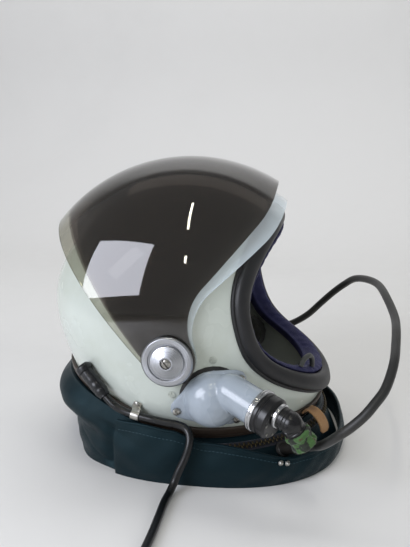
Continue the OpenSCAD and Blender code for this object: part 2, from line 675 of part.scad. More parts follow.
module connector_mouth() {
  color("#3f6b3a") at_pivot() aim(elbow_at + stub_len * mouth_dir, mouth_dir) difference() {
    rotate_extrude() polygon([[0, 0], [mouth_r - 1, 0], [mouth_r, 1], [mouth_r, 4], [mouth_r - 1.2, 5],
      [mouth_r - 1.2, 10], [mouth_r, 11], [mouth_r, mouth_len - 1], [mouth_r - 1, mouth_len], [0, mouth_len]]);
    translate([0, 0, -1]) cylinder(r = port_r, h = mouth_len + 2);
  }
}

// Visor hose: from the gland on the wearer's left, round the face, to the skirt
hose_route = [
  [62, 115, 74], [78, 117, 77], [97, 118, 82], [116, 118, 94], [132, 115, 111], [145, 108, 126], [157, 98, 139],
  [167, 84, 149], [178, 60, 154], [186, 30, 155], [189, -8, 151], [191, -45, 143], [188, -75, 139],
  [184, -100, 132], [180, -120, 126], [175, -135, 118], [169, -147, 110], [161, -155, 102], [153, -159, 93],
  [143, -160, 83], [134, -156, 73], [126, -146, 61], [121, -133, 51], [115, -120, 43], [108, -109, 36]
];
hose_start = hose_route[0] - pivot;
hose_first = unit(hose_route[1] - hose_route[0]);
hose_end = hose_route[len(hose_route) - 1] - pivot;
hose_last = unit(hose_route[len(hose_route) - 1] - hose_route[len(hose_route) - 2]);
gland_mid = hose_start - 12 * hose_first;
gland_foot = on_side([gland_mid.x, gland_mid.z], 1);
gland_out = unit(gland_mid - gland_foot);
gland_stem_r = 4;
gland_neck = gland_foot + 5 * gland_out;
gland_line = [gland_neck, gland_neck + 0.6 * (gland_mid - gland_neck), gland_mid + 1.2 * unit(hose_first - gland_out),
  gland_mid + 4 * hose_first, gland_mid + 11.7 * hose_first];
module hose_gland() {
  color("#5a5c5e") at_pivot() {
    aim(gland_foot - (shell_t - 2.5) * gland_out, gland_out) rotate_extrude() polygon([
      [0, 0], [gland_stem_r - 0.05, 0], [gland_stem_r - 0.05, shell_t + 1.4], [7.8, shell_t + 1.4],
      [7.8, shell_t + 4.4], [0, shell_t + 4.4]]);
    tube(gland_line, 6.2, 16, Z);
  }
}
module visor_hose() {
  q = route(hose_route, 64);
  echo(visor_hose_length = path_length(q));
  color("#1b1c1e") tube(q, hose_d / 2, 8, Z);
}
inlet_turn = 133;
inlet_h = 0.4;
inlet_foot = skirt_place(inlet_turn, inlet_h, 0);
inlet_out = unit(cross(skirt_place(inlet_turn + 2, inlet_h, 0) - inlet_foot, skirt_place(inlet_turn, inlet_h - 0.1, 0) - inlet_foot));
inlet_mid = hose_end + 10 * hose_last;
module hose_inlet() {
  color("#6a5f45") at_pivot() {
    aim(inlet_foot + 2 * inlet_out, inlet_mid - inlet_foot) cylinder(r = 5.6, h = norm(inlet_mid - inlet_foot) - 2);
    aim(inlet_foot + 1.4 * inlet_out, inlet_out) cylinder(r = 7.5, h = 2.5);
    translate(inlet_mid) sphere(r = 6.6);
    aim(inlet_mid, -hose_last) cylinder(r = 6, h = 9.7);
  }
}

// Communications lead: sleeve on the shell's rear edge, clipped lead, coil and plug
sleeve_marks = [[-93, 95, 7.3], [-86, 88, 7.3], [-79, 81, 7.8], [-73, 75, 8.6]];
sleeve_route = [for (m = sleeve_marks)
  [m.x, -reach([m.x + pivot_back, 0, m.y - pivot_height], -Y, m.z, 0, 150), m.y]];
sleeve_end = sleeve_route[len(sleeve_route) - 1];
sleeve_last = unit(sleeve_end - sleeve_route[len(sleeve_route) - 2]);
lead_route = concat([sleeve_end + 0.6 * sleeve_last], [
  [-64, -115, 68], [-55, -116.5, 64], [-43, -118.5, 61.5], [-34, -120, 60.3], [-27, -121, 59.5],
  [-20, -121.5, 58.5], [-11, -122, 57.5], [-3, -122.5, 56.5], [4, -124, 54], [8, -127.5, 49], [8, -131.5, 41],
  [5, -134, 31], [0, -136.5, 20], [-4, -139.5, 9.5], [-7, -148, 4], [-8.5, -160, 3.6], [-9, -180, 3.6],
  [-9.5, -200, 3.6], [-11, -225, 3.6], [-13, -250, 3.8], [-13, -266, 4.4], [-13, -281.3, 4.7]
]);
coil_mid = [28, -282];
coil_low = lead_d / 2 + 1.2;
coil_pitch = lead_d + 1;
coil_inner = coil_r - coil_pitch * coil_turns / 2;
function coil_place(u) =
  let (
    half = coil_turns / 2, in = min(u, half) / half, back = max(0, u - half) / half,
    r = coil_r - (coil_r - coil_inner) * (in - back),
    z = coil_low + (lead_d + 0.6) * smooth((u - half + 0.25) / 0.5)
  )
  [coil_mid.x + r * cos(180 + 360 * u), coil_mid.y + r * sin(180 + 360 * u), z];
coil_points = [for (k = [0 : 24 * coil_turns]) coil_place(k / 24)];
coil_gap = min([for (i = [0 : len(coil_points) - 1], j = [i + 9 : 1 : len(coil_points) - 1])
  norm(coil_points[i] - coil_points[j])]) - lead_d;
module lead_sleeve() {
  color("#161617") tube(route(sleeve_route, 12), sleeve_d / 2, 12, Z);
}
module sleeve_cap() {
  dir = unit(sleeve_route[0] - sleeve_route[1]);
  color("#242426") aim(sleeve_route[0] + 0.3 * dir, dir) difference() {
    rotate_extrude() polygon([[0, 0], [sleeve_d / 2 + 1, 0], [sleeve_d / 2 + 1, 5], [sleeve_d / 2 - 0.5, 7], [0, 7]]);
    translate([0, 0, 4]) cylinder(r = 3, h = 6);
  }
}
module lead() {
  q = route(lead_route, 44);
  echo(lead_length = path_length(q));
  color("#141416") tube(q, lead_d / 2, 8, Z);
}
module lead_coil() {
  echo(coil_length = path_length(coil_points), coil_gap = coil_gap);
  color("#141416") tube(coil_points, lead_d / 2, 6, Z);
}
tail_start = coil_points[len(coil_points) - 1] - [0, 0.7, 0];
tail_route = [tail_start, tail_start + [0, -14, -0.6], tail_start + [-3, -30, -3], tail_start + [-8, -44, -3.6]];
plug_dir = unit([-5, -14, 0]);
plug_start = tail_route[3] + 0.6 * plug_dir;
plug_r = plug_start.z;
plug_nose_r = plug_r - 1.8;
module lead_tail() {
  q = route(tail_route, 10);
  color("#141416") tube(q, lead_d / 2, 8, Z);
}
module lead_plug() {
  color("#8f9296") aim(plug_start, plug_dir) difference() {
    rotate_extrude() polygon([[0, 0], [plug_r - 2.5, 0], [plug_r - 1.5, 8], [plug_r - 1.5, 25.5], [plug_nose_r, 25.5],
      [plug_nose_r, 30], [plug_nose_r - 0.6, 31], [0, 31]]);
    translate([0, 0, 22]) cylinder(r = plug_r - 3.5, h = 12);
  }
}
module plug_ring() {
  color("#2a2b2e") aim(plug_start + 14 * plug_dir, plug_dir) difference() {
    cylinder(r = plug_r, h = 11);
    translate([0, 0, -1]) cylinder(r = plug_r - 1.5, h = 13);
  }
}
module coil_tie() {
  a = 300;
  mid = coil_mid + (coil_r + coil_inner) / 2 * [cos(a), sin(a)];
  w = coil_r - coil_inner + lead_d + 1.2;
  h = 2 * lead_d + 1.6;
  color("#3a3a3a") translate([mid.x, mid.y, coil_low - lead_d / 2 - 0.4]) rotate(a) difference() {
    translate([-w / 2 - 1, -3, -0.8]) cube([w + 2, 6, h + 1.6]);
    translate([-w / 2, -4, 0]) cube([w, 8, h]);
  }
}
clip_at = lead_route[3] - pivot;
clip_dir = unit(lead_route[4] - lead_route[2]);
clip_foot = on_side([clip_at.x + 0.5, clip_at.z + 8], -1);
clip_out = normal_at(clip_foot);
clip_screw_r = 1.5;
module lead_clip() {
  color("#c4c4bc") at_pivot() difference() {
    union() {
      aim(clip_at - 4 * clip_dir, clip_dir) cylinder(r = lead_d / 2 + 1.2, h = 8);
      hull() {
        aim(clip_foot + 0.5 * clip_out, clip_out) cylinder(r = 4, h = 1.2, $fn = 24);
        aim(clip_at - 4 * clip_dir + (lead_d / 2 + 0.4) * unit(clip_foot - clip_at), clip_dir) cylinder(r = 0.6, h = 8, $fn = 16);
      }
    }
    aim(clip_at - 6 * clip_dir, clip_dir) cylinder(r = lead_d / 2 + 0.2, h = 12);
    aim(clip_foot - 8 * clip_out, clip_out) cylinder(r = clip_screw_r + 0.1, h = 16);
    aim(clip_foot + 1.7 * clip_out, clip_out) cylinder(r = 3.4, h = 12);
  }
}
module clip_screw() {
  color("#c4c4bc") at_pivot() {
    aim(clip_foot - 4.2 * clip_out, clip_out) cylinder(r = clip_screw_r, h = 6.4);
    aim(clip_foot + 1.9 * clip_out, clip_out) rotate_extrude() polygon([[0, 0], [3, 0], [3, 1], [1.8, 1.9], [0, 2]]);
  }
}

// Neck skirt, its outer flap, zip, tab and studs
skirt_rows = 8;
flap_rows = 5;
flap_from = 63;
flap_t = 2;
function skirt_line(turn, out) =
  [skirt_mid - (skirt_half_l + out) * power(cos(turn), 2 / plan_roundness),
   -(skirt_half_w + out) * power(sin(turn), 2 / plan_roundness), floor_z];
function plan_out(p) = unit([p.x - skirt_mid, p.y, 0]);
function skirt_place(turn, h, out) =
  let (
    top = neck_point(turn, skirt_drop, 6.8), foot = skirt_line(turn, 0),
    sag = nape_sag * smooth((cos(turn) - 0.5) / 0.45) * pow(sin(180 * min(1, h / 0.52)), 1.3)
      + 3 * sin(turn) * sin(turn) * sin(180 * h),
    fold = fold_depth * (sin(fold_count * turn) - 1) / 2 * smooth(h * 1.4)
  )
  mix(top, foot, h) + plan_out(foot) * (sag + fold + out);
function skirt_grid(out) =
  [for (i = [0 : skirt_rows - 1]) [for (j = [0 : loop_steps - 1])
    skirt_place(360 * j / loop_steps, i / (skirt_rows - 1), out)]];
module neck_skirt() {
  color("#14303a") at_pivot() wall(skirt_grid(0), skirt_grid(-skirt_t), true);
}
function flap_top(turn) =
  let (w = min(turn, 360 - turn))
  flap_h - 5 * smooth((w - 72) / 18) - 10 * smooth((w - 87) / 10)
  - (flap_h - 15 - flap_front_h) * smooth((w - 97) / 30);
function flap_place(turn, h, out) =
  let (
    w = min(turn, 360 - turn), rim = neck_point(turn, 0, 12), foot = skirt_line(turn, 0.6),
    plan = mix(rim, foot, smooth((w - 86) / 26)),
    top = [plan.x, plan.y, floor_z + flap_top(turn)]
  )
  mix(top, foot, h) + plan_out(foot) * (out + 3 * sin(180 * h));
function flap_grid(out) =
  [for (i = [0 : flap_rows - 1]) [for (j = [0 : flap_steps])
    flap_place(mix(flap_from, 360 - flap_from, j / flap_steps), i / (flap_rows - 1), out)]];
flap_steps = 46;
module skirt_flap() {
  color("#16343f") at_pivot() wall(flap_grid(flap_t), flap_grid(0), false);
}
zip_from = 100;
zip_h = 0.18;
zip_step = zip_pitch / 1.95;
module zip_block(turn, size, lift) {
  p = skirt_place(turn, zip_h, lift);
  q = skirt_place(turn + 1, zip_h, lift);
  up = skirt_place(turn, zip_h - 0.1, lift) - p;
  out = unit(cross(up, q - p));
  s = out * plan_out(p) > 0 ? out : -out;
  translate(p) multmatrix([
    [unit(q - p).x, s.x, cross(unit(q - p), s).x, 0],
    [unit(q - p).y, s.y, cross(unit(q - p), s).y, 0],
    [unit(q - p).z, s.z, cross(unit(q - p), s).z, 0],
    [0, 0, 0, 1]
  ]) translate([-size.x / 2, 0, -size.z / 2]) cube(size);
}
module zip_teeth() {
  color("#4a4028") at_pivot() for (t = [zip_from : zip_step : 360 - zip_from]) zip_block(t, [1.8, 1.6, 6], 0.5);
}
slider_turn = 250;
module zip_slider() {
  color("#6a5a38") at_pivot() zip_block(slider_turn, [7, 3, 9], 3);
}
tab_turn = 155;
tab_root = pivot + neck_point(tab_turn, 0, 3);
tab_steps = [
  [1.83, -1.43, 0.74], [4.33, -2.43, 4.24], [7.33, -2.93, 4.24], [11.33, -3.93, 2.24], [16.33, -4.93, -3.26],
  [19.83, -5.93, -10.26], [20.83, -6.43, -16.76]
];
tab_route = [for (s = tab_steps) tab_root + s];
module leather_tab() {
  color("#8a6a45") strap(route(tab_route, 12), 13, 2.2, [0.6, 0.8, 0]);
}
stud_turns = [118.5, 121.5];
module press_studs() {
  color("#d8d8d8") at_pivot() for (t = stud_turns) let (p = flap_place(t, 0.12, flap_t + 0.9))
    aim(p, plan_out(p)) rotate_extrude() polygon([[0, 0], [2.6, 0], [2.6, 0.8], [1.8, 2], [0, 2.4]]);
}

outer_shell();
neck_ring();
face_seal();
face_lining();
foam_liner();
crown_pad();
nape_pad();
ear_cup(-1);  // ear_cup_right
ear_cup(1);  // ear_cup_left
ear_cushion(-1);  // ear_cushion_right
ear_cushion(1);  // ear_cushion_left
earphone(-1);  // earphone_right
earphone(1);  // earphone_left
cheek_pad(-1);  // cheek_pad_right
cheek_pad(1);  // cheek_pad_left
breathing_tube();
clear_visor();
sun_visor();
pivot_bushes();
inner_washers();
outer_washers();
pivot_nuts();
pivot_disc(-1);  // pivot_disc_right
pivot_disc(1);  // pivot_disc_left
pivot_cap(-1);  // pivot_cap_right
pivot_cap(1);  // pivot_cap_left
pivot_screws();
shell_screws();
valve_gasket();
valve_housing();
valve_diaphragm();
valve_screws();
outlet_ring();
outlet_body();
outlet_body_screws();
swivel_ring();
swivel_elbow();
connector_mouth();
hose_gland();
visor_hose();
hose_inlet();
lead_sleeve();
sleeve_cap();
lead();
lead_coil();
coil_tie();
lead_tail();
lead_plug();
plug_ring();
lead_clip();
clip_screw();
neck_skirt();
skirt_flap();
zip_teeth();
zip_slider();
leather_tab();
press_studs();
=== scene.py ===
# %% [markdown]
# # A flight helmet
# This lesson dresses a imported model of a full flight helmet: a hard glossy shell, two
# swinging visors on turned discs, a cast breathing valve, a hose, a lead and a cloth neck
# skirt. The model's parts stay where they are. Each cell makes one piece or one finish.

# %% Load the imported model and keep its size
import math
import bmesh
import bpy
import numpy as np
from mathutils import Matrix


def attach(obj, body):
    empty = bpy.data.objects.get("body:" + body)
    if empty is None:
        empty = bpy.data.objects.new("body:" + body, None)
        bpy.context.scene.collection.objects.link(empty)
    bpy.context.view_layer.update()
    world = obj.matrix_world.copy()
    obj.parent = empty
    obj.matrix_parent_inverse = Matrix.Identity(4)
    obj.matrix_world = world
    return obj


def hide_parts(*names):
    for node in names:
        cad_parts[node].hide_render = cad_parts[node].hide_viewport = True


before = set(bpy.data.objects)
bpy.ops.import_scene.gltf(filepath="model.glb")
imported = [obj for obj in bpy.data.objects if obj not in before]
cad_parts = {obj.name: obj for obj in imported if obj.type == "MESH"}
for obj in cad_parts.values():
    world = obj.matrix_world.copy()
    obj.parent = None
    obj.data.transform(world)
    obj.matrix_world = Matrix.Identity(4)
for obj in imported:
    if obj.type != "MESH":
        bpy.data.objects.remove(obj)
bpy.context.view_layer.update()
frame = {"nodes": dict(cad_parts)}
nodes = frame["nodes"]
scene = bpy.context.scene
MM = 0.001
MERGE = 1e-6
PIVOT = np.array([-10.0, 0.0, 120.0])

# %% [markdown]
# ## Camera
# The photo was taken from the wearer's right, a little in front and a little above, and
# from close by. A short distance makes the near side larger, so the distance matters as
# much as the angle. The lens follows from the picture's frame of 410 by 547.

# %% Camera
AZIMUTH = math.radians(8.0)
ELEVATION = math.radians(12.5)
TARGET = np.array([4.0, 0.0, 168.6])
DISTANCE = 630.0
FOCAL_PX = 600.0
FRAME_PX = (410, 547)

VIEW_OUT = np.array([
    math.sin(AZIMUTH) * math.cos(ELEVATION),
    -math.cos(AZIMUTH) * math.cos(ELEVATION),
    math.sin(ELEVATION),
])
VIEW_RIGHT = np.array([math.cos(AZIMUTH), math.sin(AZIMUTH), 0.0])
VIEW_UP = np.cross(VIEW_OUT, VIEW_RIGHT)
EYE = TARGET + DISTANCE * VIEW_OUT

camera_data = bpy.data.cameras.new("camera")
camera_data.lens = FOCAL_PX / FRAME_PX[1] * 36.0
camera_data.clip_start = 0.02
camera = bpy.data.objects.new("camera", camera_data)
scene.collection.objects.link(camera)
camera.location = EYE * MM
camera.rotation_euler = (math.pi / 2 - ELEVATION, 0.0, AZIMUTH)
scene.camera = camera
print("camera at", np.round(EYE), "mm, lens", round(camera_data.lens, 2))

# %% [markdown]
# ## From grids of points to meshes
# Almost every piece here is a function of two parameters. The function gives a grid of
# points, and neighbouring points are joined by four-sided faces. One helper does that for
# all of them, and another puts several such shapes into one object.

# %% Grid helpers
def unit(v):
    """Each vector divided by its own length."""
    v = np.asarray(v, float)
    return v / np.linalg.norm(v, axis=-1, keepdims=True)


def smooth(t):
    """0 below 0, 1 above 1, and 3t^2 - 2t^3 between, so that it starts and ends level."""
    c = np.clip(t, 0.0, 1.0)
    return c * c * (3 - 2 * c)


def power(v, p):
    """The size of v raised to p, with the sign of v kept."""
    return np.sign(v) * np.abs(v) ** p


def turns(n):
    """n angles in radians round a full turn, without its end."""
    return np.linspace(0, 2 * np.pi, n, endpoint=False)


def turns_deg(n):
    """n angles in degrees round a full turn, without its end."""
    return np.linspace(0, 360, n, endpoint=False)


def ring_of(turn, u, w):
    """The direction cos u + sin w for each angle."""
    return np.cos(turn)[:, None] * u + np.sin(turn)[:, None] * w


def sheet_shape(grid, wrap_rows=False, wrap_cols=False, size=(1.0, 1.0), caps=False):
    """Quads between neighbours of a rows by columns grid of points in mm. A wrapped side
    joins its last line to its first. The UV map runs 0 to size over columns and rows.
    Caps close the first and the last row with one face each."""
    grid = np.asarray(grid, float)
    rows, cols = grid.shape[:2]
    i = np.arange(rows if wrap_rows else rows - 1)
    j = np.arange(cols if wrap_cols else cols - 1)
    a, b = [m.ravel() for m in np.meshgrid(i, j, indexing="ij")]
    ai = np.stack([a, a, a + 1, a + 1], 1)
    bj = np.stack([b, b + 1, b + 1, b], 1)
    faces = (ai % rows) * cols + bj % cols
    uv = np.stack([bj / max(1, len(j)) * size[0], ai / max(1, len(i)) * size[1]], -1)
    faces = faces.tolist()
    uv = uv.reshape(-1, 2)
    if caps:
        faces.append(list(range(cols))[::-1])
        faces.append(list(range((rows - 1) * cols, rows * cols)))
        turn = turns(cols)
        disc = np.stack([np.cos(turn), np.sin(turn)], 1) * size[0] / 6.3
        uv = np.vstack([uv, disc[::-1], disc])
    return grid.reshape(-1, 3), faces, uv


def wall_shape(outer, inner, closed, size=(1.0, 1.0)):
    """A closed wall: the rows of the outer grid, then the rows of the inner grid from the
    far end back, wrapped round, with both side edges closed unless the columns wrap."""
    grid = np.concatenate([outer, inner[::-1]])
    points, faces, uv = sheet_shape(grid, True, closed, (size[0], 2 * size[1]))
    if not closed:
        rows, cols = outer.shape[:2]
        n = 2 * rows
        for col in (0, cols - 1):
            for k in range(rows - 1):
                quad = [k, k + 1, n - 2 - k, n - 1 - k]
                quad = quad if col == 0 else quad[::-1]
                faces.append([r * cols + col for r in quad])
        uv = np.vstack([uv, np.zeros((8 * (rows - 1), 2))])
    return points, faces, uv


def make(name, shapes, sharp=35.0):
    """One object from several shapes, in metres. A closed shape whose faces point inwards,
    so that its volume comes out negative, is turned over. Doubled points are merged, faces
    with no area go, and edges sharper than the given angle in degrees stay sharp."""
    points, faces, uvs, start = [], [], [], 0
    for p, f, uv in shapes:
        tri = np.array([[q[0], q[k], q[k + 1]] for q in f for k in range(1, len(q) - 1)])
        volume = np.einsum("ij,ij->i", p[tri[:, 0]], np.cross(p[tri[:, 1]], p[tri[:, 2]])).sum()
        if volume < 0:
            ends = np.cumsum([len(q) for q in f])
            uv = np.concatenate([uv[e - len(q):e][::-1] for q, e in zip(f, ends)])
            f = [q[::-1] for q in f]
        points.append(p * MM)
        faces += [[start + k for k in q] for q in f]
        uvs.append(uv)
        start += len(p)
    mesh = bpy.data.meshes.new(name)
    mesh.from_pydata(np.concatenate(points).tolist(), [], faces)
    layer = mesh.uv_layers.new(name="UVMap")
    layer.data.foreach_set("uv", np.concatenate(uvs).astype(np.float32).ravel())
    bm = bmesh.new()
    bm.from_mesh(mesh)
    bmesh.ops.remove_doubles(bm, verts=bm.verts, dist=MERGE)
    bmesh.ops.dissolve_degenerate(bm, edges=bm.edges, dist=MERGE)
    bm.to_mesh(mesh)
    bm.free()
    mesh.polygons.foreach_set("use_smooth", [True] * len(mesh.polygons))
    mesh.set_sharp_from_angle(angle=math.radians(sharp))
    obj = bpy.data.objects.new(name, mesh)
    scene.collection.objects.link(obj)
    return obj


def piece(name, shapes, material, nodes=(), body="helmet", sharp=35.0):
    """An object from shapes, dressed and placed in one go."""
    return place(make(name, shapes, sharp), material, body, nodes)


def place(obj, material, body="helmet", replaces=()):
    """Gives a piece its material and its body, and hides the model's nodes that it stands for."""
    obj.data.materials.clear()
    obj.data.materials.append(material)
    if replaces:
        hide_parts(*replaces)
    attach(obj, body)
    print(obj.name, len(obj.data.vertices), "points")
    return obj


# %% [markdown]
# ## Paths, tubes and turned parts
# Cords and hoses are a ring carried along a smooth path. Discs, rings and screws are a
# profile turned round an axis, as on a lathe. Real edges are never sharp, so a profile's
# corners are rounded before it is turned.

# %% Path, tube and lathe helpers
SCREW_SIDES = 72


def path_through(points, steps):
    """Catmull-Rom curve through the points: between two of them, the cubic whose slope at
    each is half the way between its neighbours."""
    p = np.asarray(points, float)
    q = np.vstack([2 * p[0] - p[1], p, 2 * p[-1] - p[-2]])
    u = np.linspace(0, len(p) - 1, steps + 1)
    i = np.minimum(u.astype(int), len(p) - 2)
    t = (u - i)[:, None]
    a, b, c, d = q[i], q[i + 1], q[i + 2], q[i + 3]
    return 0.5 * (2 * b + (c - a) * t + (2 * a - 5 * b + 4 * c - d) * t**2
                  + (3 * b - a - 3 * c + d) * t**3)


def path_length(q):
    """Sum of the distances between neighbours."""
    return float(np.linalg.norm(np.diff(q, axis=0), axis=1).sum())


def tube_shape(q, radius, sides=24, side=(0, 0, 1)):
    """Rings round a path. Each ring lies across the path's heading: radius times cos along
    one side direction plus sin along the other. Radius may change along the path."""
    q = np.asarray(q, float)
    heading = unit(np.gradient(q, axis=0))
    s = unit(np.asarray(side, float) - heading * (heading @ np.asarray(side, float))[:, None])
    w = np.cross(s, heading)
    turn = turns(sides)
    r = np.broadcast_to(np.asarray(radius, float), (len(q),))[:, None, None]
    grid = (q[:, None] + r * np.cos(turn)[None, :, None] * s[:, None]
            + r * np.sin(turn)[None, :, None] * w[:, None])
    return sheet_shape(grid, False, True, (2 * np.pi * float(np.mean(radius)), path_length(q)), True)


def strap_shape(path, side_way, half, thick, sides, corner, size=(1, 1)):
    """A flat strap along a path: half its width times cos^corner to the side, plus half its
    thickness times sin^0.5 outwards. Gives the shape and both of these directions."""
    heading = unit(np.gradient(path, axis=0))
    side = unit(side_way - heading * (heading @ side_way)[:, None])
    out = np.cross(side, heading)
    turn = turns(sides)
    half = np.broadcast_to(half, (len(path),))
    grid = (path[:, None] + (half[:, None] * power(np.cos(turn), corner))[..., None] * side[:, None]
            + (thick * power(np.sin(turn), 0.5))[None, :, None] * out[:, None])
    return sheet_shape(grid, False, True, size, True), side, out


def rounded(profile, r, n=4, closed=False):
    """Each corner replaced by n + 1 points of the parabola that touches both of its sides
    at the distance r, or nearer on a short side."""
    p = np.asarray(profile, float)
    out = []
    count = len(p)
    for k in range(count):
        if not closed and k in (0, count - 1):
            out.append(p[k][None])
            continue
        a, b, c = p[k - 1], p[k], p[(k + 1) % count]
        la, lc = np.linalg.norm(a - b), np.linalg.norm(c - b)
        a = b + (a - b) * min(r / max(la, 1e-9), 0.45)
        c = b + (c - b) * min(r / max(lc, 1e-9), 0.45)
        t = np.linspace(0, 1, n + 1)[:, None]
        out.append((1 - t) ** 2 * a + 2 * t * (1 - t) * b + t**2 * c)
    return np.concatenate(out)


def frame_of(direction):
    """Two directions across the given one, the first as near to up as it can be, and the
    given one itself, each of length 1."""
    d = unit(direction)
    up = np.array([0.0, 0, 1]) if abs(d[2]) < 0.98 else np.array([1.0, 0, 0])
    u = unit(up - d * (up @ d))
    return u, np.cross(d, u), d


def lathe_shape(profile, start, direction, segs=96, closed=True):
    """A profile of (radius, height) points turned round the direction: start + height
    along it + radius times (cos u + sin w) across it."""
    u, w, d = frame_of(direction)
    p = np.asarray(profile, float)
    ring = ring_of(turns(segs), u, w)
    grid = np.asarray(start, float) + p[:, 1, None, None] * d + p[:, 0, None, None] * ring
    size = (2 * np.pi * p[:, 0].max(), path_length(np.c_[p, np.zeros(len(p))]))
    return sheet_shape(grid, closed, True, size)


def turned_shape(profile, r, start, direction, segs=96, closed=True):
    """A turned part whose profile has its corners rounded by r."""
    return lathe_shape(rounded(profile, r, closed=closed), start, direction, segs, closed)


def screw_shape(start, direction, r, h, slot=0.0, turn=0.4, cross=False):
    """A low domed screw head: height h (1 - 0.5 (rho/r)^3), rounded off at the rim, with a
    slot sunk where the distance from its middle line is under r over 5.5. A cross has a
    second slot, and both end short of the rim."""
    u, w, d = frame_of(direction)
    rho = np.r_[r, r, np.linspace(r, 0, 22)]
    ang = turns(SCREW_SIDES)
    x = rho[:, None] * np.cos(ang + turn)
    y = rho[:, None] * np.sin(ang + turn)
    top = h * (1 - 0.5 * (rho / r) ** 3)[:, None] + 0 * x
    sunk = smooth((r / 5.5 - np.abs(x)) / (r / 18))
    if cross:
        second = smooth((r / 5.5 - np.abs(y)) / (r / 18))
        sunk = np.maximum(sunk, second) * smooth((0.75 * r - rho[:, None]) / 0.3)
    top = top - slot * sunk
    top[0] = 0
    top[1] = h * 0.3
    grid = np.asarray(start, float) + top[..., None] * d + rho[:, None, None] * ring_of(ang, u, w)
    points, faces, uv = sheet_shape(grid, False, True, (1, 1))
    faces.append(list(range(len(ang)))[::-1])
    return points, faces, np.vstack([uv, np.zeros((len(ang), 2))])


def whole_screw(start, direction, head, shank, turn, lift=0.0):
    """A slotted head, given as radius, height and slot depth, and its shank, given as
    radius, length and sides, which starts lift mm above the head's underside."""
    radius, length, sides = shank
    profile = [[0.01, 0], [radius, 0], [radius, -length], [0.01, -length]]
    return [screw_shape(start, direction, *head, turn),
            lathe_shape(profile, start + lift * direction, direction, sides)]


# %% [markdown]
# ## The helmet's form
# The shell is a rounded body turned about the visors' pivot axis. Its side view is a
# circle that is drawn in at the nape and pushed out at the chin, and across it narrows
# towards the face. The same few functions place everything that lies on the shell, so
# the seal, the ring and the visors fit it exactly.

# %% Form of the helmet, in mm from the middle of the pivot axis
CROWN_R, HALF_W, SHELL_T = 145.0, 120.0, 4.0
NAPE_IN, CHIN_OUT, FRONT_TAPER, ROUND = 19.0, 8.0, 0.14, 2.3
SEAL_W = 18.0
FLOOR = -120.0
NECK_SWEEP_R, NECK_SWEEP_X, NECK_DOWN = 330.0, 70.0, 80.0
NECK_MID_X, FLAT_FROM, FLAT_SOFT = 8.0, -60.0, 50.0
OPEN_POWER, OPEN_TILT = 2.2, 14.0
LOOP_DETAIL = 4
Y = np.array([0.0, 1.0, 0.0])
Z = np.array([0.0, 0.0, 1.0])


def side_r(a):
    """Radius of the side view at the angle a in degrees, 0 forward and 90 up."""
    b = np.where(a < -90, a + 360, a)
    return (CROWN_R - NAPE_IN * smooth((b - 155) / 45) * smooth((270 - b) / 45)
            + CHIN_OUT * smooth((-2 - b) / 25) * smooth((b + 90) / 40))


def fullness(p, grow):
    """1 on the form grown by the given mm, more outside it: the side-view distance over
    its radius and the width over the half width, each raised to 2.3 and added."""
    angle = np.degrees(np.arctan2(p[..., 2], p[..., 0]))
    side = np.hypot(p[..., 0], p[..., 2]) / (side_r(angle) + grow)
    half = (HALF_W + grow) * (1 - FRONT_TAPER * smooth(p[..., 0] / 110))
    return side**ROUND + (np.abs(p[..., 1]) / half) ** ROUND


def halved(place_at, grow, shape, far):
    """The distance between 0 and far at which place_at leaves the grown form, halved in on
    36 times for all places at once."""
    low, high = np.zeros(shape), np.full(shape, far)
    for _ in range(36):
        mid = (low + high) / 2
        out = fullness(place_at(mid), grow) > 1
        high = np.where(out, mid, high)
        low = np.where(out, low, mid)
    return (low + high) / 2


def reach(start, direction, grow, far=230.0):
    """Distance from a start inside the grown form, along a direction, to the form."""
    start = np.asarray(start, float)
    direction = np.asarray(direction, float)
    shape = np.broadcast(start[..., 0], direction[..., 0], grow).shape
    return halved(lambda mid: start + mid[..., None] * direction, grow, shape, far)


def on_form(direction, grow):
    """The point of the grown form in a direction from the middle of the pivot axis."""
    return direction * reach(np.zeros(3), direction, grow)[..., None]


def normal_at(p):
    """Outward direction of the form at a point, from differences half a mm either way."""
    e = np.eye(3) * 0.5
    return unit(np.array([fullness(p + k, 0) - fullness(p - k, 0) for k in e]))


def on_side(x, z, s):
    """The point of the form on one side, straight out along Y from a place in its plane."""
    start = np.array([x, 0.0, z])
    return np.array([x, s * reach(start, s * Y, 0.0, 140.0), z])


def opening_dir(turn, k):
    """Direction of a place round the face opening: turn in degrees, 0 at the brow and 90
    on the wearer's right, and k from 0 at the shell's edge to 1 at the seal's inner edge.
    The opening is a rounded rectangle of power 2.2 in a plane tilted up by 14 degrees."""
    turn, k = np.broadcast_arrays(np.radians(turn), k)
    half = 105.5 - k * SEAL_W * 0.47
    high = 90 - k * (SEAL_W - 2)
    low = 105 - k * SEAL_W
    y = -half * power(np.sin(turn), 2 / OPEN_POWER)
    c = np.cos(turn)
    t = 10 - 2 * k + np.where(c > 0, high, low) * power(c, 2 / OPEN_POWER)
    tilt = math.radians(OPEN_TILT)
    start = t[..., None] * np.array([-math.sin(tilt), 0, math.cos(tilt)]) + y[..., None] * Y
    out = np.array([math.cos(tilt), 0, math.sin(tilt)])
    return unit(start + out * reach(start, out, 0.0)[..., None])


def neck_place(turn, rho, drop):
    """A place on the neck's curved lower surface: a sweep of radius 330 seen from the
    side, which flattens out behind x = -60."""
    x = NECK_MID_X - rho * np.cos(turn)
    flat = FLAT_FROM - FLAT_SOFT * (1 - np.exp(np.minimum(0, x - FLAT_FROM) / FLAT_SOFT))
    s = np.where(x > FLAT_FROM, x, flat) - NECK_SWEEP_X
    z = NECK_SWEEP_R - NECK_DOWN - np.sqrt(NECK_SWEEP_R**2 - s**2) - drop
    return np.stack([x, -rho * np.sin(turn), z], -1)


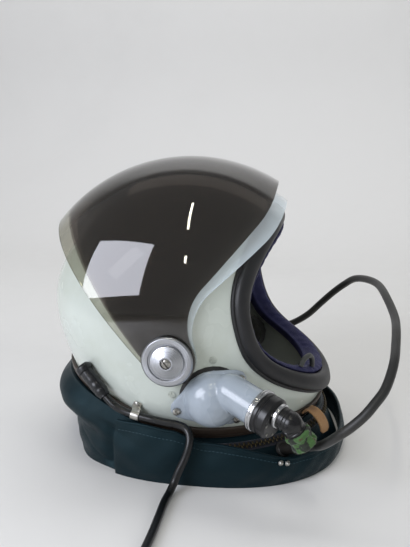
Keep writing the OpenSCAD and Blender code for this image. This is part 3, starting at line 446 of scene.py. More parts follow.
def neck_point(turn, drop, grow):
    """Where that surface meets the grown form, in the direction turn, 0 at the nape."""
    turn, drop, grow = np.broadcast_arrays(np.radians(turn), drop, grow)
    rho = halved(lambda mid: neck_place(turn, mid, drop), grow, turn.shape, 220.0)
    return neck_place(turn, rho, drop)


def skin(grow, rows, cols):
    """Grid over the shell: rows from the opening's edge to the neck's edge, each point on
    the great arc between the two edges' directions."""
    turn = turns_deg(cols)[None, :]
    a = opening_dir(turn, 0.0)
    b = unit(neck_point(turn, 0.0, 0.0))
    w = np.arccos(np.clip((a * b).sum(-1, keepdims=True), -1, 1))
    t = np.linspace(0, 1, rows)[:, None, None]
    return on_form((a * np.sin((1 - t) * w) + b * np.sin(t * w)) / np.sin(w), grow) + PIVOT


def loop_shape(section, cols, point):
    """A closed section carried round a loop. The section is smoothed by a closed
    Catmull-Rom curve, and point(turn, a, b) gives the place of a section point."""
    s = np.asarray(section, float)
    dense = path_through(np.vstack([s[-2:], s, s[:2]]), (len(s) + 3) * LOOP_DETAIL)
    dense = dense[2 * LOOP_DETAIL:(2 + len(s)) * LOOP_DETAIL]
    turn = turns_deg(cols)
    grid = point(turn[:, None], dense[None, :, 0], dense[None, :, 1]) + PIVOT
    return sheet_shape(grid, True, True, (60, 600))


# %% [markdown]
# ## Shared finishes
# Several materials need the same effect: a fine grain, a weave, faint dirt, or hairline
# scratches. Each is a node group, made once and placed in each material with its own
# values. Groups give masks, heights and colours, and the shader stays in the material.

# %% Node helpers and groups
def linear(r, g, b):
    """Screen colour of 0 to 255 as the shader's linear colour."""
    c = np.array([r, g, b]) / 255.0
    c = np.where(c <= 0.04045, c / 12.92, ((c + 0.055) / 1.055) ** 2.4)
    return (float(c[0]), float(c[1]), float(c[2]), 1.0)


def add(tree, kind, settings=None, **inputs):
    """A node with its settings and its inputs, each a value or another node's output."""
    node = tree.nodes.new(kind)
    for name, value in (settings or {}).items():
        setattr(node, name, value)
    for name, value in inputs.items():
        key = int(name[1:]) if name[0] == "_" else name.replace("_", " ")
        socket = node.inputs[key]
        if isinstance(value, bpy.types.NodeSocket):
            tree.links.new(value, socket)
        else:
            socket.default_value = value
    return node


def group(name, inputs, outputs):
    """An empty shader node group with named inputs and outputs."""
    tree = bpy.data.node_groups.new(name, "ShaderNodeTree")
    for label, kind, value in inputs:
        socket = tree.interface.new_socket(label, in_out="INPUT", socket_type=kind)
        if value is not None:
            socket.default_value = value
    for label, kind in outputs:
        tree.interface.new_socket(label, in_out="OUTPUT", socket_type=kind)
    return tree, tree.nodes.new("NodeGroupInput"), tree.nodes.new("NodeGroupOutput")


def calc(tree, operation, *values):
    """The result of a math node on up to three values."""
    inputs = {f"_{k}": value for k, value in enumerate(values)}
    return add(tree, "ShaderNodeMath", {"operation": operation}, **inputs).outputs[0]


def ranged(tree, value, start, end, low=0.0, high=1.0, kind="LINEAR"):
    """A value that runs from start to end, mapped on low to high and clamped there."""
    return add(tree, "ShaderNodeMapRange", {"interpolation_type": kind}, _0=value, _1=start, _2=end,
               _3=low, _4=high).outputs[0]


FLOAT, COLOR, VECTOR = "NodeSocketFloat", "NodeSocketColor", "NodeSocketVector"

grain_group, g_in, g_out = group(
    "fine grain", [("Vector", VECTOR, None), ("Scale", FLOAT, 400.0)],
    [("Height", FLOAT), ("Mask", FLOAT)])
noise = add(grain_group, "ShaderNodeTexNoise", Vector=g_in.outputs["Vector"],
            Scale=g_in.outputs["Scale"], Detail=4.0, Roughness=0.6)
slow = add(grain_group, "ShaderNodeTexNoise", Vector=g_in.outputs["Vector"], Scale=25.0, Detail=3.0)
grain_group.links.new(noise.outputs["Fac"], g_out.inputs["Height"])
grain_group.links.new(slow.outputs["Fac"], g_out.inputs["Mask"])

dirt_group, g_in, g_out = group(
    "faint dirt", [("Vector", VECTOR, None), ("Scale", FLOAT, 12.0), ("Amount", FLOAT, 0.3),
                   ("Clean", COLOR, (0.8, 0.8, 0.8, 1)), ("Dirty", COLOR, (0.3, 0.28, 0.2, 1))],
    [("Color", COLOR), ("Mask", FLOAT)])
noise = add(dirt_group, "ShaderNodeTexNoise", Vector=g_in.outputs["Vector"], Scale=g_in.outputs["Scale"],
            Detail=6.0, Roughness=0.62, Distortion=0.4)
patchy = ranged(dirt_group, noise.outputs["Fac"], 0.45, 0.75, kind="SMOOTHSTEP")
much = calc(dirt_group, "MULTIPLY", patchy, g_in.outputs["Amount"])
mix = add(dirt_group, "ShaderNodeMix", {"data_type": "RGBA"}, _0=much, _6=g_in.outputs["Clean"],
          _7=g_in.outputs["Dirty"])
dirt_group.links.new(mix.outputs[2], g_out.inputs["Color"])
dirt_group.links.new(much, g_out.inputs["Mask"])

scratch_group, g_in, g_out = group(
    "hairline scratches", [("Vector", VECTOR, None), ("Scale", FLOAT, 30.0)], [("Mask", FLOAT)])
stretch = add(scratch_group, "ShaderNodeMapping", Vector=g_in.outputs["Vector"], Scale=(1.0, 1.0, 14.0),
              Rotation=(0.5, 0.9, 0.3))
noise = add(scratch_group, "ShaderNodeTexNoise", Vector=stretch.outputs[0], Scale=g_in.outputs["Scale"],
            Detail=2.0, Distortion=0.8)
scratch_group.links.new(ranged(scratch_group, noise.outputs["Fac"], 0.66, 0.7), g_out.inputs["Mask"])

weave_group, g_in, g_out = group(
    "weave", [("Vector", VECTOR, None), ("Threads", FLOAT, 2.0)], [("Height", FLOAT), ("Mask", FLOAT)])
sized = add(weave_group, "ShaderNodeVectorMath", {"operation": "SCALE"}, Vector=g_in.outputs["Vector"],
            Scale=g_in.outputs["Threads"])
parts = add(weave_group, "ShaderNodeSeparateXYZ", Vector=sized.outputs[0])
sines = []
for axis in (0, 1):
    half_turns = calc(weave_group, "MULTIPLY", parts.outputs[axis], math.pi)
    sines.append(calc(weave_group, "SINE", half_turns))
over = calc(weave_group, "MULTIPLY", *sines)
cloth = add(weave_group, "ShaderNodeTexNoise", Vector=g_in.outputs["Vector"], Scale=0.08, Detail=5.0)
weave_group.links.new(calc(weave_group, "MULTIPLY_ADD", over, 0.5, 0.5), g_out.inputs["Height"])
weave_group.links.new(cloth.outputs["Fac"], g_out.inputs["Mask"])
print("node groups:", [g.name for g in bpy.data.node_groups])


# %% [markdown]
# ## Materials
# A painted helmet that has been handled for years has a clear gloss, small changes of
# tone and a little dirt. Metal is turned or brushed. Each material below starts with one
# shader, and its colour, roughness and bump come from the shared groups.

# %% Material helpers
def material(name, **values):
    """A new material with one Principled shader. The values are set on its own sockets."""
    mat = bpy.data.materials.new(name)
    mat.use_nodes = True
    shader = mat.node_tree.nodes["Principled BSDF"]
    for key, value in values.items():
        shader.inputs[key.replace("_", " ")].default_value = value
    return mat, mat.node_tree, shader


def use(tree, shared, **inputs):
    """One of the shared groups, placed in a material."""
    return add(tree, "ShaderNodeGroup", {"node_tree": shared}, **inputs)


def object_coords(tree):
    """The object's own coordinates, in metres."""
    return add(tree, "ShaderNodeTexCoord").outputs["Object"]


def bump(tree, shader, height, strength, distance):
    """A height that tilts the shader's surface."""
    node = add(tree, "ShaderNodeBump", Strength=strength, Distance=distance, Height=height)
    tree.links.new(node.outputs[0], shader.inputs["Normal"])


def spread(tree, value, low, high):
    """A mask of 0.3 to 0.7 spread from low to high."""
    return ranged(tree, value, 0.3, 0.7, low, high)


def dress(tree, shader, colour, roughness, height, strength, distance):
    """Links a colour, a roughness and a height to the shader, the last through a bump."""
    tree.links.new(colour, shader.inputs["Base Color"])
    tree.links.new(roughness, shader.inputs["Roughness"])
    bump(tree, shader, height, strength, distance)


def worn(name, clean, dirty, rough, grain=300.0, depth=0.00003, dirt=0.3, dirt_scale=12.0, **values):
    """Paint, plastic or rubber: dirt over a clean colour, roughness that changes slowly,
    and a fine grain in the bump."""
    mat, tree, shader = material(name, **values)
    coords = object_coords(tree)
    dirt_node = use(tree, dirt_group, Vector=coords, Scale=dirt_scale, Amount=dirt, Clean=clean,
                    Dirty=dirty)
    grain_node = use(tree, grain_group, Vector=coords, Scale=grain)
    dress(tree, shader, dirt_node.outputs["Color"], spread(tree, grain_node.outputs["Mask"], *rough),
          grain_node.outputs["Height"], 0.5, depth)
    return mat


def cloth_material(name, colour, shade, threads, rough=(0.45, 0.65), depth=0.0002, **values):
    """Woven cloth: the weave follows the piece's own UV map, which is in millimetres, and
    a slow change of tone keeps it from looking printed."""
    mat, tree, shader = material(name, **values)
    coords = add(tree, "ShaderNodeTexCoord")
    weave = use(tree, weave_group, Vector=coords.outputs["UV"], Threads=threads)
    dirt_node = use(tree, dirt_group, Vector=coords.outputs["Object"], Scale=18.0, Amount=0.7,
                    Clean=colour, Dirty=shade)
    dress(tree, shader, dirt_node.outputs["Color"], spread(tree, weave.outputs["Mask"], *rough),
          weave.outputs["Height"], 0.6, depth)
    return mat


def metal(name, colour, rough, dirt=0.15):
    """Bare metal: full metallic, with fine grain, faint dirt and hairline scratches."""
    mat, tree, shader = material(name, Metallic=1.0)
    coords = object_coords(tree)
    dirt_node = use(tree, dirt_group, Vector=coords, Scale=60.0, Amount=dirt, Clean=colour,
                    Dirty=linear(70, 66, 60))
    scratches = use(tree, scratch_group, Vector=coords, Scale=120.0)
    grain_node = use(tree, grain_group, Vector=coords, Scale=500.0)
    base = spread(tree, grain_node.outputs["Mask"], *rough)
    scratched = calc(tree, "MULTIPLY_ADD", scratches.outputs[0], 0.15, base)
    dress(tree, shader, dirt_node.outputs["Color"], scratched, grain_node.outputs["Height"], 0.3, 0.00002)
    return mat


# %% Paints, rubbers, plastics and metals
shell_paint = worn("shell paint", linear(198, 205, 197), linear(176, 182, 164), (0.2, 0.3), grain=220.0,
                   depth=0.00002, dirt=0.35, dirt_scale=14.0, Coat_Weight=0.5, Coat_Roughness=0.08)
valve_paint = worn("valve enamel", linear(158, 168, 178), linear(120, 128, 134), (0.22, 0.36), grain=160.0,
                   depth=0.00006, dirt=0.3, dirt_scale=40.0, Coat_Weight=0.6, Coat_Roughness=0.12)
ring_rubber = worn("neck ring rubber", linear(58, 48, 40), linear(34, 30, 26), (0.35, 0.55), dirt=0.6,
                   dirt_scale=30.0)
seal_rubber = worn("seal rubber", linear(30, 30, 32), linear(52, 50, 48), (0.38, 0.52), grain=500.0,
                   depth=0.00004, dirt=0.5, dirt_scale=30.0)
tube_rubber = worn("breathing tube rubber", linear(64, 66, 64), linear(40, 40, 38), (0.4, 0.6), dirt=0.4,
                   dirt_scale=40.0)
hose_rubber = worn("hose rubber", linear(38, 38, 37), linear(72, 68, 60), (0.34, 0.5), grain=900.0,
                   depth=0.00005, dirt=0.35, dirt_scale=26.0)
lead_rubber = worn("lead rubber", linear(9, 10, 12), linear(30, 30, 32), (0.22, 0.38), grain=700.0,
                   depth=0.00004, dirt=0.3, dirt_scale=30.0)
sleeve_rubber = worn("sleeve rubber", linear(20, 21, 24), linear(46, 46, 48), (0.2, 0.36), grain=300.0,
                     depth=0.0002, dirt=0.3, dirt_scale=40.0)
dark_plastic = worn("ear cup plastic", linear(44, 46, 45), linear(70, 68, 62), (0.4, 0.55), dirt=0.3)
black_plastic = worn("black plastic", linear(15, 15, 17), linear(38, 37, 35), (0.22, 0.36), grain=500.0,
                     depth=0.00005, dirt=0.4, dirt_scale=50.0)
washer_plastic = worn("washer plastic", linear(214, 214, 206), linear(170, 168, 150), (0.3, 0.4))
foam = worn("expanded foam", linear(216, 213, 202), linear(180, 174, 156), (0.7, 0.9), grain=240.0,
            depth=0.0006, dirt=0.4)
painted_screw = worn("painted screw", linear(186, 192, 182), linear(110, 112, 102), (0.3, 0.45), dirt=0.8,
                     dirt_scale=160.0)
gland_metal = worn("gland enamel", linear(88, 90, 92), linear(60, 58, 54), (0.3, 0.45), dirt=0.4)
steel = metal("screw steel", linear(176, 174, 168), (0.22, 0.4), dirt=0.5)
chrome = metal("polished ring", linear(205, 206, 208), (0.12, 0.25), dirt=0.25)
plug_metal = metal("plug aluminium", linear(160, 163, 166), (0.28, 0.42))
inlet_rubber = worn("hose inlet rubber", linear(24, 23, 22), linear(48, 44, 38), (0.35, 0.5), dirt=0.5)
zip_brass = metal("zip bronze", linear(84, 76, 56), (0.3, 0.45), dirt=0.7)

# %% [markdown]
# ## Turned aluminium
# The pivot discs were turned on a lathe. The tool leaves fine circles, and light then
# makes two bright fans from the middle. The fans come from anisotropy with a tangent that
# runs round the axis, and the circles from noise that depends on the radius alone.

# %% Turned aluminium
disc_aluminium, tree, shader = material("turned aluminium", Metallic=1.0, Anisotropic=0.8)
shader.inputs["Base Color"].default_value = linear(182, 184, 189)
coords = object_coords(tree)
centred = add(tree, "ShaderNodeVectorMath", {"operation": "SUBTRACT"}, _0=coords,
              _1=(float(PIVOT[0] * MM), 0.0, float(PIVOT[2] * MM)))
level = add(tree, "ShaderNodeVectorMath", {"operation": "MULTIPLY"}, _0=centred.outputs[0],
            _1=(1.0, 0.0, 1.0))
radius = add(tree, "ShaderNodeVectorMath", {"operation": "LENGTH"}, _0=level.outputs[0])
circles = add(tree, "ShaderNodeTexNoise", {"noise_dimensions": "1D"}, W=radius.outputs["Value"], Scale=2500.0,
              Detail=2.0)
tree.links.new(spread(tree, circles.outputs["Fac"], 0.24, 0.38), shader.inputs["Roughness"])
bump(tree, shader, circles.outputs["Fac"], 0.25, 0.00004)
tangent = add(tree, "ShaderNodeTangent", {"direction_type": "RADIAL", "axis": "Y"})
tree.links.new(tangent.outputs[0], shader.inputs["Tangent"])

# %% [markdown]
# ## Cloth and leather
# The skirt is coated satin, so it has a sheen and a fine weave. The lining and pads are
# soft navy leather and cloth. Leather grain is small cells with dark lines between them.

# %% Cloth and leather
skirt_cloth = cloth_material("skirt satin", linear(7, 22, 28), linear(3, 9, 14), 2.2, rough=(0.34, 0.5),
                             Sheen_Weight=0.05, Sheen_Roughness=0.35, Sheen_Tint=linear(70, 130, 150),
                             Specular_IOR_Level=0.28, Specular_Tint=(0.55, 0.9, 1.0, 1))
lining_cloth = cloth_material("lining cloth", linear(21, 22, 62), linear(11, 12, 34), 2.6, rough=(0.55, 0.75),
                              Sheen_Weight=0.4, Sheen_Roughness=0.5, Sheen_Tint=linear(90, 92, 150))
cheek_cloth = cloth_material("cheek pad cloth", linear(62, 64, 56), linear(36, 38, 34), 2.0, rough=(0.6, 0.8),
                             Sheen_Weight=0.3)
tape_cloth = cloth_material("zip tape", linear(18, 20, 34), linear(10, 12, 20), 3.0, rough=(0.6, 0.8),
                            depth=0.0003, Sheen_Weight=0.3)


def leather(name, colour, shade, rough, scale=900.0):
    """Leather: cells of a Voronoi pattern, their borders pressed in, over slow stains."""
    mat, tree, shader = material(name, Sheen_Weight=0.1)
    coords = object_coords(tree)
    cells = add(tree, "ShaderNodeTexVoronoi", {"feature": "DISTANCE_TO_EDGE"}, Vector=coords, Scale=scale)
    edge = ranged(tree, cells.outputs["Distance"], 0.0, 0.25, kind="SMOOTHSTEP")
    stain = use(tree, dirt_group, Vector=coords, Scale=70.0, Amount=0.6, Clean=colour, Dirty=shade)
    grain_node = use(tree, grain_group, Vector=coords, Scale=300.0)
    dress(tree, shader, stain.outputs["Color"], spread(tree, grain_node.outputs["Mask"], *rough), edge, 0.4,
          0.00025)
    return mat


pad_leather = leather("pad leather", linear(32, 35, 76), linear(20, 21, 46), (0.4, 0.55))
tab_leather = leather("tab leather", linear(150, 114, 76), linear(96, 66, 40), (0.45, 0.65), 700.0)

# %% [markdown]
# ## Camouflage cover
# The connector's mouth wears a printed green cover. Two thresholds on one noise give
# irregular patches of dark green, green and brown, as such cloth has.

# %% Camouflage cover
mouth_cloth, tree, shader = material("printed cover", Roughness=0.75, Sheen_Weight=0.2)
coords = object_coords(tree)
patches = add(tree, "ShaderNodeTexNoise", Vector=coords, Scale=95.0, Detail=3.0, Distortion=0.6)
camo = add(tree, "ShaderNodeValToRGB", _0=patches.outputs["Fac"])
camo.color_ramp.interpolation = "CONSTANT"
camo.color_ramp.elements[0].color = linear(26, 34, 22)
camo.color_ramp.elements[1].position = 0.47
camo.color_ramp.elements[1].color = linear(60, 94, 46)
third = camo.color_ramp.elements.new(0.6)
third.color = linear(70, 58, 36)
fine = use(tree, grain_group, Vector=coords, Scale=900.0)
tree.links.new(camo.outputs["Color"], shader.inputs["Base Color"])
bump(tree, shader, fine.outputs["Height"], 0.6, 0.0002)

# %% [markdown]
# ## Visor sheet
# Both visors are clear or smoked plastic with a high gloss. Real glass in a renderer
# stops lamp light from reaching what is behind it, so for shadow rays alone the sheet is
# a plain tinted filter. The smoked one has a lighter colour painted in a strip along its
# rear edge. This is painted light, for the light that reaches the shell under that edge.

# %% Visor materials
NO_STRIP = 2.0


def visor_material(name, tint, painted_edge_light, edge_at, filter_tint, clear):
    """A glass shader whose colour goes from tint to painted_edge_light near the sheet's rear edge.
    That lighter strip is painted light, for the light that reaches the shell under that edge.
    The UV map's second coordinate is 0 and 1 at the front edge and 0.5 at the rear one,
    because it runs over the outer face and back over the inner one, so it is folded."""
    mat, tree, shader = material(name, Transmission_Weight=clear, IOR=1.56, Coat_Weight=0.4,
                                 Coat_Roughness=0.02)
    coords = add(tree, "ShaderNodeTexCoord")
    around = add(tree, "ShaderNodeSeparateXYZ", Vector=coords.outputs["UV"]).outputs[1]
    across = calc(tree, "PINGPONG", around, 0.5)
    # Painted light: a lighter colour in a strip along the rear edge, for the light that reaches the shell
    # under it.
    step = ranged(tree, across, edge_at / 2 - 0.002, edge_at / 2 + 0.002, kind="SMOOTHSTEP")
    colour = add(tree, "ShaderNodeMix", {"data_type": "RGBA"}, _0=step, _6=tint, _7=painted_edge_light)
    tree.links.new(colour.outputs[2], shader.inputs["Base Color"])
    marks = use(tree, scratch_group, Vector=coords.outputs["Object"], Scale=9.0)
    tree.links.new(calc(tree, "MULTIPLY_ADD", marks.outputs[0], 0.05, 0.02), shader.inputs["Roughness"])
    passing = add(tree, "ShaderNodeBsdfTransparent", Color=filter_tint)
    shadow = add(tree, "ShaderNodeLightPath").outputs["Is Shadow Ray"]
    both = add(tree, "ShaderNodeMixShader", _0=shadow, _1=shader.outputs[0], _2=passing.outputs[0])
    tree.links.new(both.outputs[0], tree.nodes["Material Output"].inputs["Surface"])
    return mat


clear_sheet = visor_material("clear sheet", (0.84, 0.92, 0.97, 1), (0.84, 0.92, 0.97, 1), NO_STRIP,
                             (0.93, 0.96, 0.97, 1), clear=0.66)
# The smoked sheet's lighter rear-edge colour (0.5, 0.49, 0.41) is painted light.
smoked_sheet = visor_material("smoked sheet", (0.092, 0.075, 0.062, 1), (0.5, 0.49, 0.41, 1), 0.92,
                              (0.36, 0.315, 0.28, 1), clear=1.0)

# %% [markdown]
# ## Hose and lead
# The cords come first, because the helmet's box and the camera decide where they may go.
# The hose is stiff rubber that keeps its arc. The lead leaves the sleeve at the rear,
# runs along the shell's edge, hangs to the floor and leaves the picture, and the rest of
# its metre is put away as a neat coil with its plug beside it.

# %% Hose
HOSE_ROUTE = [
    [62, 115, 74], [78, 117, 77], [97, 118, 82], [116, 118, 94], [132, 115, 111], [145, 108, 126],
    [157, 98, 139], [167, 84, 149], [178, 60, 154], [186, 30, 155], [189, -8, 151], [191, -45, 143],
    [188, -75, 139], [184, -100, 132], [180, -120, 126], [175, -135, 118], [169, -147, 110],
    [161, -155, 102], [153, -159, 93], [143, -160, 83], [134, -156, 73], [126, -146, 61],
    [121, -133, 51], [115, -120, 43], [108, -109, 36],
]
HOSE_D = 8.0
hose_line = path_through(HOSE_ROUTE, 360)
visor_hose = piece("hose", [tube_shape(hose_line, HOSE_D / 2, 28)], hose_rubber,
                   ["visor_hose"])
print("hose length", round(path_length(hose_line)), "mm")

# %% Lead, coil and tail as one cord
SLEEVE_MARKS = np.array([[-93, 95, 7.3], [-86, 88, 7.3], [-79, 81, 7.8], [-73, 75, 8.6]])
sleeve_y = [-reach(np.array([x, 0, z]) - PIVOT, -Y, g, 150.0) for x, z, g in SLEEVE_MARKS]
sleeve_points = np.stack([SLEEVE_MARKS[:, 0], sleeve_y, SLEEVE_MARKS[:, 1]], 1)
sleeve_way = unit(sleeve_points[-1] - sleeve_points[-2])
LEAD_ROUTE = [
    [-64, -115, 68], [-55, -116.5, 64], [-43, -118.5, 61.5], [-34, -120, 60.3], [-27, -121, 59.5],
    [-20, -121.5, 58.5], [-11, -122, 57.5], [-3, -122.5, 56.5], [4, -124, 54], [8, -127.5, 49],
    [8, -131.5, 41], [5, -134, 31], [0, -136.5, 20], [-4, -139.5, 9.5], [-7, -148, 4],
    [-8.5, -160, 3.6], [-9, -180, 3.6], [-9.5, -200, 3.6], [-11, -225, 3.6], [-13, -250, 3.8],
    [-13, -266, 4.4], [-13, -281.3, 4.7],
]
LEAD_D = 7.0
COIL_MID, COIL_LOW, COIL_R, COIL_TURNS = (28.0, -282.0), 4.7, 41.0, 3
TAIL_STEPS = np.array([[0, 0, 0], [0, -14, -0.6], [-3, -30, -3], [-8, -44, -3.6]])
lead_run = path_through(np.vstack([sleeve_points[-1] + 0.6 * sleeve_way, LEAD_ROUTE]), 420)


def coil_at(u):
    """Round the coil u turns: the radius goes in for half the turns and out again, and the
    second half lies on the first."""
    half = COIL_TURNS / 2
    inner = COIL_R - (LEAD_D + 1) * half
    r = COIL_R - (COIL_R - inner) * (np.minimum(u, half) - np.maximum(0, u - half)) / half
    z = COIL_LOW + (LEAD_D + 0.6) * smooth((u - half + 0.25) / 0.5)
    a = math.pi + 2 * np.pi * u
    return np.stack([COIL_MID[0] + r * np.cos(a), COIL_MID[1] + r * np.sin(a), z], -1)


coil_line = coil_at(np.linspace(0, COIL_TURNS, 96 * COIL_TURNS + 1))
tail_start = coil_line[-1] - np.array([0, 0.7, 0])
tail_line = path_through(tail_start + TAIL_STEPS, 60)
lead_line = np.vstack([lead_run, coil_line[1:], tail_line])
lead_cord = piece("lead_cord", [tube_shape(lead_line, LEAD_D / 2, 20)], lead_rubber,
                  ["lead", "lead_coil", "lead_tail"])
print("lead length", round(path_length(lead_line)), "mm")

# %% [markdown]
# ## Plug and tie
# The lead ends in a round metal plug with a ribbed locking ring, and a black strap holds
# the coil. The ribs are a small wave on the ring's radius, so the ring is one grid.

# %% Plug, ring and tie
PLUG_WAY = unit([-5, -14, 0])
plug_start = tail_line[-1] + 0.6 * PLUG_WAY
PLUG_R = plug_start[2]
u, w, d = frame_of(PLUG_WAY)
plug_shapes = [turned_shape([
    [0.01, 0], [PLUG_R - 2.5, 0], [PLUG_R - 2.3, 4], [PLUG_R - 1.6, 8], [PLUG_R - 1.6, 25.5],
    [PLUG_R - 1.8, 25.6], [PLUG_R - 1.8, 30], [PLUG_R - 2.4, 31], [PLUG_R - 3.4, 31],
    [PLUG_R - 3.6, 22], [0.01, 22]], 0.5, plug_start, PLUG_WAY)]
pin_profile = rounded([[0.01, 0], [0.8, 0], [0.8, 6], [0.01, 6.6]], 0.2)
PIN_TURNS = (0.5, 1.76, 3.0, 4.28, 5.5)
for a in PIN_TURNS:
    pin_start = plug_start + 22 * PLUG_WAY + 2.6 * (math.cos(a) * u + math.sin(a) * w)
    plug_shapes.append(lathe_shape(pin_profile, pin_start, PLUG_WAY, 12))
plug = piece("plug", plug_shapes, plug_metal, ["lead_plug"])

turn = turns(240)
ring_profile = rounded([[PLUG_R - 1.5, 0], [PLUG_R - 0.3, 0], [PLUG_R - 0.3, 11], [PLUG_R - 1.5, 11]],
                       0.6, closed=True)
ribs = 0.25 * np.cos(24 * turn)[None, :] * smooth((ring_profile[:, :1] - PLUG_R + 1.2) / 0.6)
ring_grid = (plug_start + (14 + ring_profile[:, 1])[:, None, None] * d
             + (ring_profile[:, :1] + ribs)[..., None] * ring_of(turn, u, w))
plug_ring = piece("plug_ring_ribbed", [sheet_shape(ring_grid, True, True)], black_plastic,
                  ["plug_ring"])

tie_turn = math.radians(300)
tie_mid = np.array([COIL_MID[0] + 35 * math.cos(tie_turn), COIL_MID[1] + 35 * math.sin(tie_turn), 8.4])
radial = np.array([math.cos(tie_turn), math.sin(tie_turn), 0])
around = turns(64)
tie_round = power(np.stack([np.cos(around), np.sin(around)], -1), 0.45)
tie_sections = [np.array(half_sizes) * tie_round for half_sizes in ((11.2, 8.3), (10.3, 7.5))]


def tie_row(section, shift):
    """The tie's loop, a rounded rectangle across the coil, moved along the cord."""
    along = np.array([-radial[1], radial[0], 0])
    return tie_mid + section[:, :1] * radial + section[:, 1:] * Z + shift * along


tie_walls = [np.stack([tie_row(section, s) for s in (-3, -2.6, 0, 2.6, 3)]) for section in tie_sections]
tie = piece("coil_tie_strap", [wall_shape(*tie_walls, True)], black_plastic, ["coil_tie"])

# %% [markdown]
# ## Sleeve
# Where the lead leaves the helmet it runs in a thick soft sleeve with a cap at its upper
# end. It tapers into the lead, which keeps the lead from kinking. Soft tube wrinkles
# where it bends, so the radius carries a few shallow waves.

# %% Sleeve and cap
sleeve_line = path_through(sleeve_points, 120)
t = np.linspace(0, 1, len(sleeve_line))
sleeve_waves = 0.18 * np.sin(26 * t) * smooth((t - 0.2) / 0.3)
sleeve_radius = 6.5 - 1.1 * smooth((t - 0.7) / 0.3) + sleeve_waves - 1.2 * smooth((t - 0.985) / 0.015)
piece("sleeve", [tube_shape(sleeve_line, sleeve_radius, 40)], sleeve_rubber, ["lead_sleeve"])
cap_way = unit(sleeve_points[0] - sleeve_points[1])
piece("sleeve_end_cap", [turned_shape(
    [[0.01, 0], [7.4, 0], [7.5, 5], [6, 7], [3.4, 7], [3, 5.8], [0.01, 5.6]], 0.8,
    sleeve_points[0] + 0.3 * cap_way, cap_way)], sleeve_rubber, ["sleeve_cap"])

# %% [markdown]
# ## Shell
# The shell is one moulded wall 4 mm thick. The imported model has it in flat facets, and a
# glossy paint shows every facet, so here it is the same form on a much finer grid.

# %% Shell
ROUND_COLS, SHELL_ROWS = 288, 110
shell_skins = [skin(grow, SHELL_ROWS, ROUND_COLS) for grow in (0.0, -SHELL_T)]
piece("shell", [wall_shape(*shell_skins, True, (800, 300))], shell_paint, ["outer_shell"],
      sharp=50)

# %% Neck ring
RING_SECTION = [[-4, 0.3], [-4.2, 2.2], [-2.5, 3.2], [0.5, 3.8], [3, 4], [5, 3.2], [7, 3.4],
                [8.8, 2.6], [9, 0], [9, -6], [3, -8], [-4, -7], [-4, -4.3], [0.3, -4.3], [0.3, 0.3]]
piece("neck_ring_band", [loop_shape(RING_SECTION, ROUND_COLS, neck_point)], ring_rubber,
      ["neck_ring"])

# %% [markdown]
# ## Face seal and lining
# A rubber seal rims the face opening. It has a thin bead against the shell and a broad
# rounded lip. Behind it sits the padded navy lining, gathered into soft puckers by its
# seam. Both are one closed section carried round the opening.

# %% Face seal
SEAL_SECTION = [[0.03, -4], [0.02, 0.4], [0.04, 2.4], [0.1, 3.1], [0.16, 2.6], [0.2, 3.6], [0.3, 5.4],
                [0.45, 6.1], [0.62, 5.4], [0.8, 3.4], [0.94, 0.6], [1, -2.5], [0.96, -6], [0.6, -9],
                [0.2, -8]]
seal_loop = loop_shape(SEAL_SECTION, 320, lambda turn, a, b: on_form(opening_dir(turn, a), b))
piece("seal", [seal_loop], seal_rubber, ["face_seal"])

# %% Lining
LINING_SECTION = [[0.86, -9.5], [0.99, -7.2], [1.1, -5.5], [1.2, -8.5], [1.23, -12], [1.17, -17], [1.02, -22],
                  [0.9, -26], [0.4, -24], [0.3, -14], [0.5, -10]]


def lining_point(turn, a, b):
    """The lining's place, with puckers: a wave round the loop that is strongest on the
    inner face and dies out at the seam under the seal."""
    angle = np.radians(turn)
    pucker = 0.7 * np.sin(angle * 46 + 1.5 * np.sin(angle * 9)) * smooth((a - 0.9) / 0.3)
    return on_form(opening_dir(turn, a + 0.02 * np.sin(angle * 7)), b + pucker)


lining = piece("lining", [loop_shape(LINING_SECTION, 480, lining_point)], lining_cloth,
               ["face_lining"])

# %% Breathing tube at the chin
TUBE_LOOP = np.array([[143.5, 1.25], [143.8, 1.5], [145.5, 1.8], [150.5, 2.0], [155.5, 1.8], [157.5, 1.5],
                      [158, 1.25]])
tube_line = path_through(on_form(opening_dir(TUBE_LOOP[:, 0], TUBE_LOOP[:, 1]), -11.5) + PIVOT, 96)
piece("breathing_tube_soft", [tube_shape(tube_line, 2.6, 32)], tube_rubber, ["breathing_tube"])

# %% [markdown]
# ## Visors
# Each visor is a sheet of a body turned about the pivot axis. Seen from the side, its
# front edge runs along a line that passes behind the pivot, curves into the round ear,
# and bends back at the brow. The grid's angles run between those edges at each distance
# from the axis, so the edges come out exact and the surface stays smooth.

# %% Visors
EAR_R, EDGE, CORNER_R, CORNER_IN, SPAN, VISOR_T = 24.0, 20.0, 62.0, 36.0, 84.0, 2.4
BUSH_HOLE_R = 6.05
VISOR_COLS, VISOR_ROWS, EAR_COLS, EAR_ROWS = 260, 110, 96, 8
CLEAR = dict(r=159.0, half=126.3, front=41.5)
SMOKED = dict(r=170.0, half=131.2, front=48.5)


def visor_front(rho, r):
    """Angle in radians of the front edge at a distance from the axis: on the straight part
    the arcsine of the edge's offset over the distance, near the ear the hollow's circle,
    and at the brow the corner's circle, both from the law of cosines."""
    hollow = 2 * EAR_R
    hx = math.sqrt((EAR_R + hollow) ** 2 - (EDGE - hollow) ** 2)
    hz = EDGE - hollow
    straight = np.arcsin(np.clip(EDGE / rho, -1, 1))
    dist = math.hypot(hx, hz)
    near_cos = (rho**2 + dist**2 - hollow**2) / (2 * rho * dist)
    near = math.atan2(hz, hx) + np.arccos(np.clip(near_cos, -1, 1))
    cx, cz = r - CORNER_IN, EDGE + CORNER_R
    far = math.hypot(cx, cz)
    corner_cos = (rho**2 + far**2 - CORNER_R**2) / (2 * rho * far)
    corner = math.atan2(cz, cx) - np.arccos(np.clip(corner_cos, -1, 1))
    edge = np.where(rho < math.hypot(hx, EDGE), near, straight)
    return np.where(rho > math.hypot(cx, EDGE), np.maximum(corner, straight), edge)


